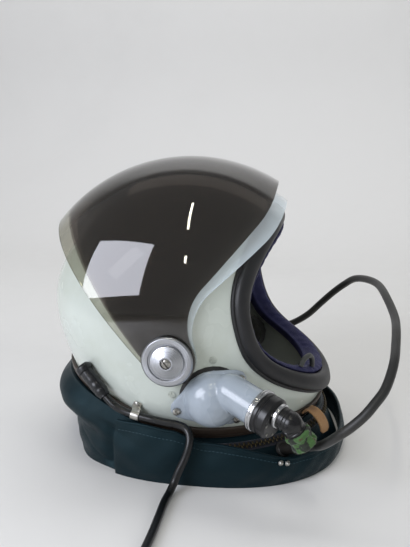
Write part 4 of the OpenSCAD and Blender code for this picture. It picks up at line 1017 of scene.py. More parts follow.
def visor_grid(r, half, front, thin):
    """Rows from the front edge to the rear edge, columns from one ear to the other. At the
    profile's angle b the distance is r cos(b)^(2/2.3) and the width half sin(b)^(2/2.3)."""
    rr, hh = r - thin, half - thin
    b_end = math.acos((EAR_R / rr) ** (ROUND / 2))
    b = np.linspace(-b_end, b_end, VISOR_COLS)[None, :]
    rho = rr * np.cos(b) ** (2 / ROUND)
    y = hh * power(np.sin(b), 2 / ROUND)
    lo = visor_front(rho, r)
    hi = math.radians(SPAN) + np.arcsin(np.clip(EDGE / rho, -1, 1))
    a = math.radians(front) + lo + (hi - lo) * np.linspace(0, 1, VISOR_ROWS)[:, None]
    return np.stack([rho * np.cos(a), y + 0 * a, rho * np.sin(a)], -1) + PIVOT


def ear_grid(r, half, thin, s):
    """The round ear on one side: rings from the bush's hole out to the ear's radius."""
    rr, hh = r - thin, half - thin
    rho = np.linspace(BUSH_HOLE_R, EAR_R, EAR_ROWS)[:, None]
    turn = turns(EAR_COLS)[None, :]
    y = s * hh * (1 - (rho / rr) ** ROUND) ** (1 / ROUND)
    return np.stack([rho * np.cos(turn), y + 0 * turn, rho * np.sin(turn)], -1) + PIVOT


def visor_shapes(r, half, front):
    """The sheet and its two ears, each a closed wall."""
    outer, inner = [visor_grid(r, half, front, thin) for thin in (0, VISOR_T)]
    shapes = [wall_shape(outer, inner, False, (1.0, 0.5))]
    for s in (-1, 1):
        outer, inner = [ear_grid(r, half, thin, s) for thin in (0, VISOR_T)]
        shapes.append(wall_shape(outer, inner, True, (0.0, 0.0)))
    return shapes


piece("smoked_visor_sheet", visor_shapes(**SMOKED), smoked_sheet, ["sun_visor"],
      "sun_visor", sharp=40)
piece("clear_visor_sheet", visor_shapes(**CLEAR), clear_sheet, ["clear_visor"],
      "clear_visor", sharp=40)

# %% [markdown]
# ## Pivot discs
# On each side a turned disc covers the hinge. Its flat outer ring, the dark groove and
# the cone inside it catch the light in turn, so the profile has all three, with small
# radii on every edge. A slotted screw holds the cone.

# %% Pivot discs, caps and screws
DISC_AT = SMOKED["half"] + 0.3
DISC_T, DISC_R, CAP_R, CAP_H, GROOVE = 4.5, 22.5, 15.0, 5.5, 1.6
for s, label in ((-1, "right"), (1, "left")):
    out = s * Y
    disc_shape = turned_shape([
        [3, 0], [DISC_R - 1, 0], [DISC_R, 1], [DISC_R, DISC_T - 1.4], [DISC_R - 1.4, DISC_T],
        [CAP_R + GROOVE + 0.4, DISC_T], [CAP_R + GROOVE, DISC_T - 0.5], [CAP_R + GROOVE, DISC_T - GROOVE],
        [3, DISC_T - GROOVE]], 0.35, PIVOT + DISC_AT * out, out, 160)
    piece(f"pivot_disc_turned_{label}", [disc_shape], disc_aluminium,
          [f"pivot_disc_{label}"], sharp=30)
    cap_shape = turned_shape([
        [3, 0], [CAP_R, 0], [CAP_R, 1.3], [CAP_R - 0.6, 2], [5.9, CAP_H], [4.7, CAP_H], [4.7, CAP_H - 2.2],
        [3, CAP_H - 2.2]], 0.3, PIVOT + (DISC_AT + DISC_T - GROOVE) * out, out, 160)
    piece(f"pivot_cap_turned_{label}", [cap_shape], disc_aluminium,
          [f"pivot_cap_{label}"], sharp=30)
screw_shapes = []
for s in (-1, 1):
    screw_at = PIVOT + s * (DISC_AT + DISC_T - GROOVE + CAP_H - 2.2) * Y
    screw_shapes += whole_screw(screw_at, s * Y, head=(4.5, 2.9, 1.3), shank=(2.95, 30, 32), turn=0.9)
piece("pivot_screws_slotted", screw_shapes, steel, ["pivot_screws"])

# %% [markdown]
# ## Breathing valve
# The housing is a casting: a dome on three ears that flows into a short pipe. A casting
# has a fillet at every inside corner. The model's solid has the right form but sharp
# joins, so a copy is rebuilt as fine voxels and smoothed, which leaves a fillet there.

# %% Castings from the model's solids
def applied(obj):
    """Makes the object's modifiers real."""
    graph = bpy.context.evaluated_depsgraph_get()
    mesh = bpy.data.meshes.new_from_object(obj.evaluated_get(graph))
    obj.modifiers.clear()
    obj.data = mesh


def smooth_faces(obj):
    """Shades all faces of the object as one smooth surface."""
    obj.data.polygons.foreach_set("use_smooth", [True] * len(obj.data.polygons))


WELD = 1e-5


def voxel_copy(node, name, voxel):
    """A copy of a model node's mesh, its loose triangles joined, with a modifier that
    rebuilds it in voxels of the given size in mm."""
    mesh = nodes[node].data.copy()
    mesh.name = name
    mesh.materials.clear()
    obj = bpy.data.objects.new(name, mesh)
    scene.collection.objects.link(obj)
    bm = bmesh.new()
    bm.from_mesh(mesh)
    bmesh.ops.remove_doubles(bm, verts=bm.verts, dist=WELD)
    bm.to_mesh(mesh)
    bm.free()
    remesh = obj.modifiers.new("voxels", "REMESH")
    remesh.mode = "VOXEL"
    remesh.voxel_size = voxel * MM
    return obj


def casting(node, name, voxel, rounds):
    """A model node's solid in voxels of the given size, then smoothed a number of times."""
    obj = voxel_copy(node, name, voxel)
    soften = obj.modifiers.new("fillets", "SMOOTH")
    soften.factor = 0.6
    soften.iterations = rounds
    applied(obj)
    smooth_faces(obj)
    return obj


for node, name, voxel, rounds, finish, slot_name in (
        ("valve_housing", "valve_casting", 0.8, 12, valve_paint, "valve_paint"),
        ("hose_gland", "hose_gland_casting", 0.5, 6, gland_metal, "gland_metal"),
        ("hose_inlet", "hose_inlet_casting", 0.5, 6, inlet_rubber, "inlet_metal")):
    place(casting(node, name, voxel, rounds), finish, replaces=[node])

# %% Valve screws
VALVE_X, VALVE_Z = 36.0, -39.0
VALVE_FOOT = on_side(VALVE_X, VALVE_Z, -1)
VALVE_OUT = normal_at(VALVE_FOOT)
EARS = ((-32.5, -11), (23.7, 19), (20, -23))
valve_screw_shapes = []
for ex, ez in EARS:
    ear_top = on_side(VALVE_X + ex, VALVE_Z + ez, -1) + PIVOT + 6.9 * VALVE_OUT
    valve_screw_shapes += whole_screw(ear_top, VALVE_OUT, head=(3.6, 2.4, 1.0), shank=(2, 10.5, 24),
                                      turn=1.0, lift=0.1)
piece("valve_screws_slotted", valve_screw_shapes, steel, ["valve_screws"])

# %% [markdown]
# ## Outlet, swivel and mouth
# The pipe ends in a polished ring, then a black body with small screws on its face. A
# second ring turns on it and carries a black elbow, and the elbow's mouth has a green
# cloth cover that is gathered by a drawn edge. The cover is a lathe form with folds.

# %% Outlet ring and body
SPOUT_WAY = unit([0.82, -0.515, -0.25])
SPOUT_END = VALVE_FOOT + np.array([42.5, -27.5, 3.0]) + PIVOT
RING_LEN, BODY_LEN, OUTLET_R, PORT_R = 5.0, 14.0, 19.0, 7.0
PORT_SHIFT = 6 * frame_of(SPOUT_WAY)[0]
PORT_START = SPOUT_END + (RING_LEN + BODY_LEN) * SPOUT_WAY + PORT_SHIFT
piece("outlet_ring_polished", [turned_shape([
    [13.5, 0], [OUTLET_R - 0.6, 0], [OUTLET_R, 0.7], [OUTLET_R, 1.9], [OUTLET_R - 0.5, 2.3],
    [OUTLET_R - 0.5, 2.8], [OUTLET_R, 3.2], [OUTLET_R, RING_LEN - 0.7], [OUTLET_R - 0.6, RING_LEN],
    [13.5, RING_LEN]], 0.3, SPOUT_END, SPOUT_WAY, 128)], chrome, ["outlet_ring"])
body_start = SPOUT_END + RING_LEN * SPOUT_WAY
piece("outlet_body_turned", [turned_shape([
    [0.01, 0], [OUTLET_R - 1, 0], [OUTLET_R - 1, 3], [OUTLET_R - 1.8, 3.6], [OUTLET_R - 1.8, 4.6],
    [OUTLET_R - 1, 5.2], [OUTLET_R - 1, BODY_LEN - 2.4], [OUTLET_R - 3, BODY_LEN], [0.01, BODY_LEN]], 0.4,
    body_start, SPOUT_WAY, 128, closed=False)], black_plastic, ["outlet_body"])
u, w, d = frame_of(SPOUT_WAY)
body_screw_shapes = []
for a in np.radians(45.0 * np.arange(1, 8)):
    spot = body_start + (BODY_LEN - 0.05) * d + 14 * (math.cos(a) * u + math.sin(a) * w)
    body_screw_shapes += whole_screw(spot, d, head=(1.3, 0.7, 0.4), shank=(0.88, 3.9, 16), turn=a)
piece("outlet_body_screw_heads", body_screw_shapes, steel, ["outlet_body_screws"])

# %% Swivel ring, elbow and mouth
piece("swivel_ring_polished", [turned_shape([
    [PORT_R, 0], [10.2, 0], [10.8, 0.7], [10.8, 2.8], [10.2, 3.7], [PORT_R, 3.7]], 0.25,
    PORT_START + 0.3 * SPOUT_WAY, SPOUT_WAY)], chrome, ["swivel_ring"], "swivel_connector")
MOUTH_WAY = unit([0.55, 0.1, -0.83])
ELBOW_AT = PORT_START + 12 * SPOUT_WAY
elbow_line = path_through(np.vstack([
    PORT_START + 4 * SPOUT_WAY, PORT_START + 6.5 * SPOUT_WAY, ELBOW_AT - 1.5 * SPOUT_WAY,
    ELBOW_AT + 1.6 * unit(SPOUT_WAY + MOUTH_WAY * 0.2), ELBOW_AT + 3.5 * MOUTH_WAY,
    ELBOW_AT + 7 * MOUTH_WAY, ELBOW_AT + 9.5 * MOUTH_WAY]), 90)
t = np.linspace(0, 1, len(elbow_line))
rib = 0.45 * smooth(np.cos(t * 2 * np.pi * 4.5) * 1.5)
piece("elbow", [tube_shape(elbow_line, 9.2 + rib, 48, (0.2, 1, 0.3))], black_plastic,
      ["swivel_elbow"], "swivel_connector")
u, w, d = frame_of(MOUTH_WAY)
turn = turns(192)
cover_profile = rounded([[7, 15], [7, 0.5], [10, 0], [11.3, 1], [11.4, 4], [10.1, 5.2], [10, 9.5],
                         [11.2, 11.2], [11.3, 13.8], [10.2, 15]], 1.2, 5, closed=True)
outer_part = smooth((cover_profile[:, :1] - 8.5) / 1.5)
folds = 0.35 * np.sin(9 * turn + 1.2 * np.sin(2 * turn)) + 0.2 * np.sin(17 * turn + cover_profile[:, 1:])
cover_radius = cover_profile[:, :1] + np.minimum(outer_part * folds, 0.3)
mouth_grid = (ELBOW_AT + 9.5 * MOUTH_WAY + cover_profile[:, 1, None, None] * d
              + cover_radius[..., None] * ring_of(turn, u, w))
piece("mouth_cover", [sheet_shape(mouth_grid, True, True, (70, 40))], mouth_cloth,
      ["connector_mouth"], "swivel_connector")

# %% [markdown]
# ## Neck skirt and flap
# The skirt is coated cloth: it hangs from the ring, sags at the nape and has soft folds.
# A second layer, the flap, covers its lower part with a bound upper edge. Both are sheets
# with two faces, and the folds are waves whose direction drifts, so that they cross and
# fade as folded cloth does.

# %% Skirt
SKIRT_T, ZIP_H = 2.4, 0.18
SKIRT_MID_X, SKIRT_LONG, SKIRT_WIDE = 20, 138, 125
NAPE_SAG, SAG_END = 14, 0.52
CREASE_AT, CREASE_WIDE = 59, 3.2


def skirt_line(turn, out):
    """The skirt's foot: a rounded rectangle of power 2.5 on the floor."""
    x = SKIRT_MID_X - (SKIRT_LONG + out) * power(np.cos(turn), 0.8)
    return np.stack([x, -(SKIRT_WIDE + out) * power(np.sin(turn), 0.8), FLOOR + 0 * turn], -1)


def plan_out(p):
    """Level direction away from the skirt's middle."""
    return unit(np.stack([p[..., 0] - SKIRT_MID_X, p[..., 1], 0 * p[..., 0]], -1))


def wrinkles(turn, h):
    """Two sets of slanting waves, stronger at the nape, and a crease where the flap
    begins. All are faded at the top and the floor."""
    a = np.sin(23 * turn + 7 * h + 2.1 * np.sin(3 * turn)) * np.sin(5 * turn + 4 * h + 1)
    b = np.sin(9 * turn - 14 * h + 1.7 * np.sin(5 * turn))
    rear = smooth((np.cos(turn) - 0.1) / 0.6)
    drape = np.abs(np.sin(4 * turn - 5 * h + 0.6)) ** 0.7 - 0.6
    crease = np.exp(-((np.degrees(np.arccos(np.cos(turn))) - CREASE_AT) / CREASE_WIDE) ** 2)
    waves = 0.8 * a + 0.7 * b * (0.4 + rear) + 2.2 * rear * drape - 4.5 * crease
    return waves * smooth((h - 0.2) / 0.2) * smooth((1.02 - h) / 0.15)


def skirt_place(turn_deg, h, out, soft=0.0):
    """From the ring down to the foot: a straight mix, pushed out by the nape's sag, a
    gentle belly and the folds."""
    turn = np.radians(turn_deg)
    top = neck_point(turn_deg, 6.0, 6.8)
    foot = skirt_line(turn, 0.0)
    nape = smooth((np.cos(turn) - 0.5) / 0.45)
    sag = NAPE_SAG * nape * np.sin(np.pi * np.minimum(1, h / SAG_END)) ** 1.3
    belly = 3 * np.sin(turn) ** 2 * np.sin(np.pi * h)
    fold = 2.2 * (np.sin(11 * turn) - 1) / 2 * smooth(h * 1.4)
    push = sag + belly + fold + out + soft * wrinkles(turn, h)
    return top * (1 - h)[..., None] + foot * h[..., None] + plan_out(foot) * push[..., None]


def cloth_wall(surface, turn_deg, rows, offsets, soft, closed, size):
    """The wall between a surface's outer and inner offset, over all turns and heights."""
    turn_grid, h_grid = np.meshgrid(turn_deg, np.linspace(0, 1, rows))
    outer, inner = [surface(turn_grid, h_grid, out, soft) + PIVOT for out in offsets]
    return wall_shape(outer, inner, closed, size)


skirt_wall = cloth_wall(skirt_place, turns_deg(480), 70, (0.0, -SKIRT_T), 1.0, True, (800.0, 60.0))
skirt = piece("skirt_cloth", [skirt_wall], skirt_cloth, ["neck_skirt"], sharp=60)

# %% Flap
FLAP_FROM, FLAP_T, FLAP_SOFT = 63.0, 2.0, 0.8
FLAP_REAR_H = 54
FLAP_DROPS = ((72, 18, 5), (87, 10, 10), (97, 30, 16))


def flap_place(turn_deg, h, out, soft=0.0):
    """The flap from its bound edge down to the floor, a little outside the skirt. The edge
    starts at the rear height and drops in three steps: from a turn, over a turn, by mm."""
    turn = np.radians(turn_deg)
    w = np.minimum(turn_deg, 360 - turn_deg)
    rim = neck_point(turn_deg, 0.0, 12.0)
    foot = skirt_line(turn, 0.6)
    plan = rim + (foot - rim) * smooth((w - 86) / 26)[..., None]
    height = FLAP_REAR_H - sum(drop * smooth((w - start) / over) for start, over, drop in FLAP_DROPS)
    top = np.stack([plan[..., 0], plan[..., 1], FLOOR + height], -1)
    push = out + 3 * np.sin(np.pi * h) + soft * wrinkles(turn, 0.25 + 0.75 * h)
    return top * (1 - h)[..., None] + foot * h[..., None] + plan_out(foot) * push[..., None]


flap_turn = np.linspace(FLAP_FROM, 360 - FLAP_FROM, 420)
flap_wall = cloth_wall(flap_place, flap_turn, 48, (FLAP_T, 0.0), FLAP_SOFT, False, (700.0, 40.0))
flap = piece("flap_cloth", [flap_wall], skirt_cloth, ["skirt_flap"], sharp=60)

# %% [markdown]
# ## Seams and stitches
# Cloth ends in a folded hem. A thin roll along the flap's upper edge and a row of small
# stitches under it give the eye the scale of the whole. Each stitch is a short round
# stroke, and all of them are one grid per stitch in one object.

# %% Hem roll and stitches
def stitch_row(line, out, every, length, r):
    """Short capsules along a line: each has a few rings, thin at both ends, and runs
    along the line's heading, lifted off the cloth by a part of its radius."""
    heading = unit(np.gradient(line, axis=0))
    steps = np.concatenate([[0], np.cumsum(np.linalg.norm(np.diff(line, axis=0), axis=1))])
    at = np.arange(every, steps[-1] - every, every)
    mid = np.stack([np.interp(at, steps, line[:, k]) for k in range(3)], -1)
    way = unit(np.stack([np.interp(at, steps, heading[:, k]) for k in range(3)], -1))
    up = unit(np.stack([np.interp(at, steps, out[:, k]) for k in range(3)], -1))
    x = np.array([-0.5, -0.42, -0.2, 0.2, 0.42, 0.5]) * length
    rr = np.array([0.2, 0.75, 1.0, 1.0, 0.75, 0.2]) * r
    shapes = []
    for m, a, n in zip(mid, way, up):
        ring = ring_of(turns(6), n, np.cross(a, n))
        grid = m + 0.3 * r * n + x[:, None, None] * a + rr[:, None, None] * ring
        shapes.append(sheet_shape(grid, False, True, (1, 1), True))
    return shapes


hem_turn = np.linspace(FLAP_FROM + 0.4, 360 - FLAP_FROM - 0.4, 360)
one = np.ones_like(hem_turn)
hem_line = flap_place(hem_turn, 0.0 * one, FLAP_T / 2, FLAP_SOFT) + PIVOT
hem = piece("flap_hem", [tube_shape(hem_line, 1.5, 14)], skirt_cloth)
seam_line = flap_place(hem_turn, 0.14 * one, FLAP_T + 0.05, FLAP_SOFT) + PIVOT
thread = worn("skirt thread", linear(30, 62, 72), linear(16, 32, 40), (0.5, 0.6))
stitch_shapes = stitch_row(seam_line, plan_out(seam_line - PIVOT), every=3.6, length=2.4, r=0.32)
stitches = piece("flap_stitches", stitch_shapes, thread)

# %% [markdown]
# ## Zip
# Round the front of the skirt, under the ring, runs a zip: a woven tape, two rows of
# bronze teeth that mesh, and a slider. Each tooth is a small rounded block that leans
# across the seam, and the two rows are half a pitch apart.

# %% Zip tape, teeth and slider
ZIP_FROM, ZIP_TURN = 100.0, 250.0
zip_turn = np.linspace(ZIP_FROM - 2, 362 - ZIP_FROM, 300)
one = np.ones_like(zip_turn)
tape_rows = np.linspace(0.09, 0.27, 7)
tape_faces = [np.stack([skirt_place(zip_turn, v * one, out) for v in tape_rows]) + PIVOT
              for out in (0.45, 0.05)]
piece("zip_tape", [wall_shape(*tape_faces, False, (420.0, 11.0))], tape_cloth)


def zip_frame(turn_deg):
    """Place, heading, outward and upward directions on the zip's line."""
    one = np.ones_like(turn_deg)
    p = skirt_place(turn_deg, ZIP_H * one, 0.0)
    q = skirt_place(turn_deg + 1, ZIP_H * one, 0.0)
    up = skirt_place(turn_deg, (ZIP_H - 0.1) * one, 0.0) - p
    along = unit(q - p)
    out = unit(np.cross(up, q - p))
    out = out * np.sign((out * plan_out(p)).sum(-1, keepdims=True))
    return p + PIVOT, along, out, np.cross(along, out)


def block_shape(p, along, out, up, size, power_of=0.5):
    """A block with rounded edges: a ball whose sines and cosines are raised to a low
    power, which pushes it out towards the corners."""
    lat = np.linspace(-np.pi / 2, np.pi / 2, 9)[:, None]
    lon = turns(16)[None, :]
    x = power(np.cos(lat), power_of) * power(np.cos(lon), power_of) * size[0] / 2
    y = power(np.cos(lat), power_of) * power(np.sin(lon), power_of) * size[1] / 2
    z = power(np.sin(lat), power_of) * size[2] / 2 + 0 * lon
    grid = p + x[..., None] * along + y[..., None] * out + z[..., None] * up
    return sheet_shape(grid, False, True)


TOOTH_PITCH, TOOTH_SIZE = 1.15, (1.5, 1.7, 3.8)
teeth_turn = np.arange(ZIP_FROM, 360 - ZIP_FROM, TOOTH_PITCH)
p, along, out, up = zip_frame(teeth_turn)
teeth_shapes = []
for k in range(len(teeth_turn)):
    side = 1.0 if k % 2 else -1.0
    mid = p[k] + 1.35 * out[k] + side * 1.1 * (np.sign(up[k][2]) * up[k])
    teeth_shapes.append(block_shape(mid, along[k], out[k], up[k], TOOTH_SIZE))
piece("zip_teeth_rows", teeth_shapes, zip_brass, ["zip_teeth"])
p, along, out, up = [v[0] for v in zip_frame(np.array([ZIP_TURN]))]
piece("zip_slider_body", [
    block_shape(p + 4.4 * out, along, out, up, (7, 2.6, 8.6), 0.6),
    block_shape(p + 5.9 * out + 1.0 * along, along, out, up, (4.4, 1.0, 3.0), 0.6),
], zip_brass, ["zip_slider"], "zip_slider")

# %% [markdown]
# ## Leather tab and press studs
# A worn leather tab at the chin folds over the ring, and two press studs sit on the flap
# beside it. The tab is a strap carried along a bent path, with rounded long edges.

# %% Leather tab
TAB_ROUTE = [[111.5, -53.5, 44.5], [114, -54.5, 48], [117, -55, 48], [121, -56, 46], [126, -57, 40.5],
             [129.5, -58, 33.5], [130.5, -58.5, 27]]
tab_line = path_through(TAB_ROUTE, 80)
t = np.linspace(0, 1, len(tab_line))
tab_half = 6.5 * (1 - 0.35 * smooth((t - 0.93) / 0.07))
tab_shape, tab_side, tab_out = strap_shape(tab_line, np.array([0.6, 0.8, 0.0]), tab_half, thick=1.1,
                                           sides=48, corner=0.35, size=(30, 40))
piece("chin_tab", [tab_shape], tab_leather, ["leather_tab"])
tab_thread = worn("tab thread", linear(176, 150, 108), linear(120, 96, 66), (0.6, 0.7))
sewn = slice(4, -6)
thread_out = tab_out[sewn] * np.sign(tab_out[sewn, :1])
tab_stitch_shapes = []
for shift in (5.0, -5.0):
    seam_line = tab_line[sewn] + tab_side[sewn] * shift + thread_out
    tab_stitch_shapes += stitch_row(seam_line, thread_out, every=2.6, length=1.7, r=0.28)
piece("chin_tab_stitches", tab_stitch_shapes, tab_thread)

# %% Press studs
stud_profile = rounded([[0.01, 0], [2.6, 0], [2.6, 0.7], [1.9, 1.1], [1.5, 2.0], [0.01, 2.3]], 0.3)
STUD_TURNS = (118.5, 121.5)
stud_shapes = []
for stud_turn in STUD_TURNS:
    foot = flap_place(np.array([stud_turn]), np.array([0.12]), FLAP_T + 0.7)[0]
    stud_shapes.append(lathe_shape(stud_profile, foot + PIVOT, plan_out(foot), 48, closed=False))
piece("press_studs_domed", stud_shapes, steel, ["press_studs"])

# %% [markdown]
# ## Clip
# A bent metal strip clips the lead to the shell's edge. It goes round the lead and lies
# flat under its screw. The strip is a path in the plane across the lead, given a width
# along the lead.

# %% Clip and its screw
CLIP_AT = np.array([-43.0, -118.5, 61.5])
CLIP_WAY = unit(np.array([-34.0, -120, 60.3]) - np.array([-55.0, -116.5, 64]))
clip_foot = on_side(CLIP_AT[0] + 10.5, CLIP_AT[2] - 112, -1)
CLIP_OUT = normal_at(clip_foot)
clip_foot = clip_foot + PIVOT
to_lead = CLIP_AT - clip_foot
to_lead = unit(to_lead - CLIP_WAY * (to_lead @ CLIP_WAY))
cross_way = np.cross(CLIP_WAY, to_lead)
cross_way = cross_way * np.sign(cross_way @ CLIP_OUT)
ring_turn = np.radians(np.linspace(-128, 152, 60))[:, None]
clip_ring = CLIP_AT + 4.3 * (np.cos(ring_turn) * to_lead + np.sin(ring_turn) * cross_way)
strip_at = clip_foot + 1.2 * CLIP_OUT
strip_marks = [strip_at + shift * to_lead for shift in (3.0, 0.0, -4.0)]
clip_path = path_through(np.vstack([clip_ring, *strip_marks]), 150)
clip_shape, _, _ = strap_shape(clip_path, CLIP_WAY, half=4.0, thick=0.45, sides=32, corner=0.25)
piece("clip_strip", [clip_shape], steel, ["lead_clip"])
clip_screw_shapes = whole_screw(clip_foot + 1.7 * CLIP_OUT, CLIP_OUT, head=(3.0, 1.9, 0.9),
                                shank=(1.5, 5.5, 20), turn=0.5, lift=0.1)
piece("clip_screw_head", clip_screw_shapes, steel, ["clip_screw"])

# %% Shell screws
SHELL_SCREWS_AT = ((37, -4), (0.5, -37))
shell_screw_shapes = []
for sx, sz in SHELL_SCREWS_AT:
    for s in (-1, 1):
        foot = on_side(sx, sz, s)
        n = normal_at(foot)
        shell_screw_shapes.append(screw_shape(foot + PIVOT + 0.1 * n, n, r=3.4, h=0.8, slot=0.35,
                                              turn=0.3, cross=True))
piece("shell_screws_filled", shell_screw_shapes, painted_screw, ["shell_screws"])

# %% [markdown]
# ## Pads
# Inside, leather pads keep the head off the foam. Their solids are stiff pucks, so each
# is remeshed, shrunk a little and blown up as cloth under a small pressure. The cloth
# pulls in at the rim and crowns in the middle. Each pad's last number is the furthest
# that a point of it may move, in mm.

# %% Stuffed pads
PADS = [("crown_pad", "crown_pad_stuffed", pad_leather, "pad_leather", 5.0),
        ("nape_pad", "nape_pad_stuffed", pad_leather, "pad_leather", 4.0)]
for side in ("right", "left"):
    PADS.append((f"ear_cushion_{side}", f"ear_cushion_stuffed_{side}", pad_leather, "pad_leather", 2.0))
for side in ("right", "left"):
    PADS.append((f"cheek_pad_{side}", f"cheek_pad_stuffed_{side}", cheek_cloth, "cheek_cloth", 2.5))
PAD_VOXEL, PAD_SHRINK, PAD_SHARE, CLOTH_FRAMES = 2.6, 1.2, 0.6, 18


def array_of(items, field):
    """One three-number field of all of a mesh's points or point normals, as an array."""
    out = np.empty(len(items) * 3, np.float32)
    items.foreach_get(field, out)
    return out.reshape(-1, 3).astype(float)


def move_points(obj, points):
    """Puts the object's points in the given places."""
    obj.data.vertices.foreach_set("co", points.astype(np.float32).ravel())
    obj.data.update()


stuffed = []
for node, name, _, _, cap in PADS:
    pad = voxel_copy(node, name, PAD_VOXEL)
    applied(pad)
    rest = array_of(pad.data.vertices, "co") - PAD_SHRINK * MM * array_of(pad.data.vertex_normals, "vector")
    move_points(pad, rest)
    settings = pad.modifiers.new("cloth", "CLOTH").settings
    settings.use_pressure = True
    settings.uniform_pressure_force = 4.0
    settings.effector_weights.gravity = 0.0
    settings.tension_stiffness = 30.0
    settings.compression_stiffness = 30.0
    settings.quality = 4
    stuffed.append((pad, rest, cap))
for step in range(1, CLOTH_FRAMES + 1):
    scene.frame_set(step)
graph = bpy.context.evaluated_depsgraph_get()
moved_pads = [array_of(pad.evaluated_get(graph).data.vertices, "co") for pad, _, _ in stuffed]
scene.frame_set(1)
for (pad, rest, cap), moved in zip(stuffed, moved_pads):
    pad.modifiers.clear()
    way = moved - rest
    far = np.linalg.norm(way, axis=1, keepdims=True)
    way = PAD_SHARE * way * np.minimum(1, cap * MM / np.maximum(far, 1e-9))
    move_points(pad, rest + way)
    print(pad.name, "moved up to", round(float(np.linalg.norm(way, axis=1).max()) / MM, 1), "mm")
for (pad, _, _), (node, _, finish, slot_name, _) in zip(stuffed, PADS):
    smooth_faces(pad)
    finer = pad.modifiers.new("finer", "SUBSURF")
    finer.levels = 1
    finer.render_levels = 1
    place(pad, finish, replaces=[node])

# %% [markdown]
# ## Parts that stay as they are
# The hidden and machined parts of the model already have their real shape. They only
# need their finish.

# %% Finishes for the model's own parts
KEPT = {
    "foam_liner": foam, "ear_cup_right": dark_plastic, "ear_cup_left": dark_plastic,
    "earphone_right": dark_plastic, "earphone_left": dark_plastic, "pivot_bushes": steel,
    "inner_washers": washer_plastic, "outer_washers": washer_plastic, "pivot_nuts": steel,
    "valve_gasket": seal_rubber, "valve_diaphragm": seal_rubber,
}
for node, finish in KEPT.items():
    if len(nodes[node].material_slots) == 0:
        nodes[node].data.materials.append(finish)
    for material_slot in nodes[node].material_slots:
        material_slot.material = finish
print("kept", sorted(KEPT))

# %% [markdown]
# ## Floor, backdrop and light
# The helmet stands on a pale floor that curves up into a pale wall. A soft lamp in front
# fills the form and another washes the wall, and neither is mirrored. A window-shaped lamp
# and two thin tubes are placed where the smoked visor mirrors them, as in the photo.

# %% Floor and backdrop
curve = np.linspace(0.1, np.pi / 2, 14)
span = np.linspace(-3200, 3200, 9)
profile_y = np.concatenate([np.linspace(-3000, 900, 10), 900 + 600 * np.sin(curve), [1500]])
profile_z = np.concatenate([np.zeros(10), 600 * (1 - np.cos(curve)), [3200]]) - 0.3
stage_x, stage_y = np.meshgrid(span, profile_y)
stage_grid = np.stack([stage_x, stage_y, profile_z[:, None] + 0 * stage_x], -1)
floor = make("floor", [sheet_shape(stage_grid)], sharp=180)
floor.data.materials.append(worn("pale floor", linear(222, 221, 219), linear(208, 207, 205), (0.6, 0.8),
                                 grain=60.0, dirt_scale=1.5))

# %% Lamps
def visor_hit(px, py):
    """Where the camera's ray through a picture point meets the smoked visor's body, and
    the direction in which that place mirrors it."""
    across, down = px - FRAME_PX[0] / 2, py - FRAME_PX[1] / 2
    ray = unit(-VIEW_OUT * FOCAL_PX + VIEW_RIGHT * across - VIEW_UP * down)
    along = np.linspace(300, 900, 6001)
    p = EYE + along[:, None] * ray - PIVOT
    r, half = SMOKED["r"], SMOKED["half"]
    inside = (np.hypot(p[:, 0], p[:, 2]) / r) ** ROUND + (np.abs(p[:, 1]) / half) ** ROUND
    hit = p[np.argmax(inside < 1)]
    rho = math.hypot(hit[0], hit[2])
    side = (rho / r) ** (ROUND - 1) / r / rho
    normal = unit([side * hit[0], power(hit[1] / half, ROUND - 1) / half, side * hit[2]])
    return hit + PIVOT, ray - 2 * (ray @ normal) * normal


def lamp(name, place_mm, size, power_w, colour, up, target=(0.0, 0.0, 170.0)):
    """A rectangular lamp that faces the helmet or another target, unseen by the camera
    itself. Its height runs along the given direction, and its power is in watts."""
    data = bpy.data.lights.new(name, "AREA")
    data.shape = "RECTANGLE"
    data.size, data.size_y = size
    data.energy = power_w
    data.color = colour
    obj = bpy.data.objects.new(name, data)
    scene.collection.objects.link(obj)
    place_mm, up = np.asarray(place_mm, float), np.asarray(up, float)
    back = unit(place_mm - np.asarray(target, float))
    tall = unit(up - back * (back @ up))
    matrix = np.eye(4)
    matrix[:3, :3] = np.stack([np.cross(tall, back), tall, back], 1)
    matrix[:3, 3] = place_mm * MM
    obj.matrix_world = Matrix(matrix.tolist())
    obj.visible_camera = False
    return obj


def mirrored(px, py, far):
    """The place from which the smoked visor mirrors light to a picture point."""
    point, way = visor_hit(px, py)
    return point + far * way


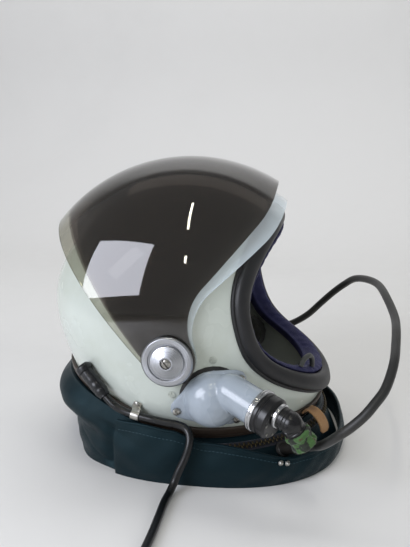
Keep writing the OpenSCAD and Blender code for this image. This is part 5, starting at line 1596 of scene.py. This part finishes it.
WINDOW_PX = ((98, 238), (159, 248), (130, 304), (88, 288))
GLARE_PX = ((140, 250), (112, 276))
TUBES_PX = {"ceiling_tube": ((193, 203), (188, 229)), "far_tube": ((186, 256), (185, 263))}
WINDOW_FAR, GLARE_FAR, TUBES_FAR = 1600, 1560, 1800
WINDOW_W_M2, TUBE_W_M2 = 23.0, 95.0
GLARE_W, FRONT_W, WASH_W = 0.3, 9.0, 25.0
GLARE_WIDE, TUBE_WIDE = 0.24, 0.035
top_left, top_right, low_right, low_left = [mirrored(*corner, WINDOW_FAR) for corner in WINDOW_PX]
window_mid = (top_left + top_right + low_right + low_left) / 4
window_up = (top_left + top_right - low_right - low_left) / 2
window_wide = np.linalg.norm(top_right + low_right - top_left - low_left) / 2 * MM
window_tall = np.linalg.norm(window_up) * MM
print("window", np.round(window_mid), "mm, size", round(window_wide, 2), round(window_tall, 2), "m")
lamp("window", window_mid, (window_wide, window_tall), WINDOW_W_M2 * window_wide * window_tall,
     (0.86, 0.89, 1.0), window_up)
glare_high, glare_low = [mirrored(*end, GLARE_FAR) for end in GLARE_PX]
lamp("window_glare", (glare_high + glare_low) / 2, (GLARE_WIDE, np.linalg.norm(glare_high - glare_low) * MM),
     GLARE_W, (0.92, 0.94, 1.0), glare_high - glare_low)
for name, ends in TUBES_PX.items():
    high, low = [mirrored(*end, TUBES_FAR) for end in ends]
    long = np.linalg.norm(high - low) * MM
    lamp(name, (high + low) / 2, (TUBE_WIDE, long), TUBE_W_M2 * TUBE_WIDE * long, (1.0, 0.96, 0.80),
         high - low)
    print(name, "length", round(long, 2), "m")
soft_front = lamp("soft_front", (1700.0, -700.0, 900.0), (1.0, 1.0), FRONT_W, (1.0, 1.0, 1.0), Z)
wall_wash = lamp("wall_wash", (0.0, 700.0, 2400.0), (0.8, 3.0), WASH_W, (0.98, 0.99, 1.0), (1.0, 0.0, 0.0),
                 (0.0, 1300.0, 300.0))
for unseen in (soft_front, wall_wash):
    unseen.visible_glossy = False

world = bpy.data.worlds.new("room")
world.use_nodes = True
background = world.node_tree.nodes["Background"]
background.inputs["Color"].default_value = (0.86, 0.88, 0.9, 1)
background.inputs["Strength"].default_value = 0.32
scene.world = world
scene.view_settings.view_transform = "Standard"
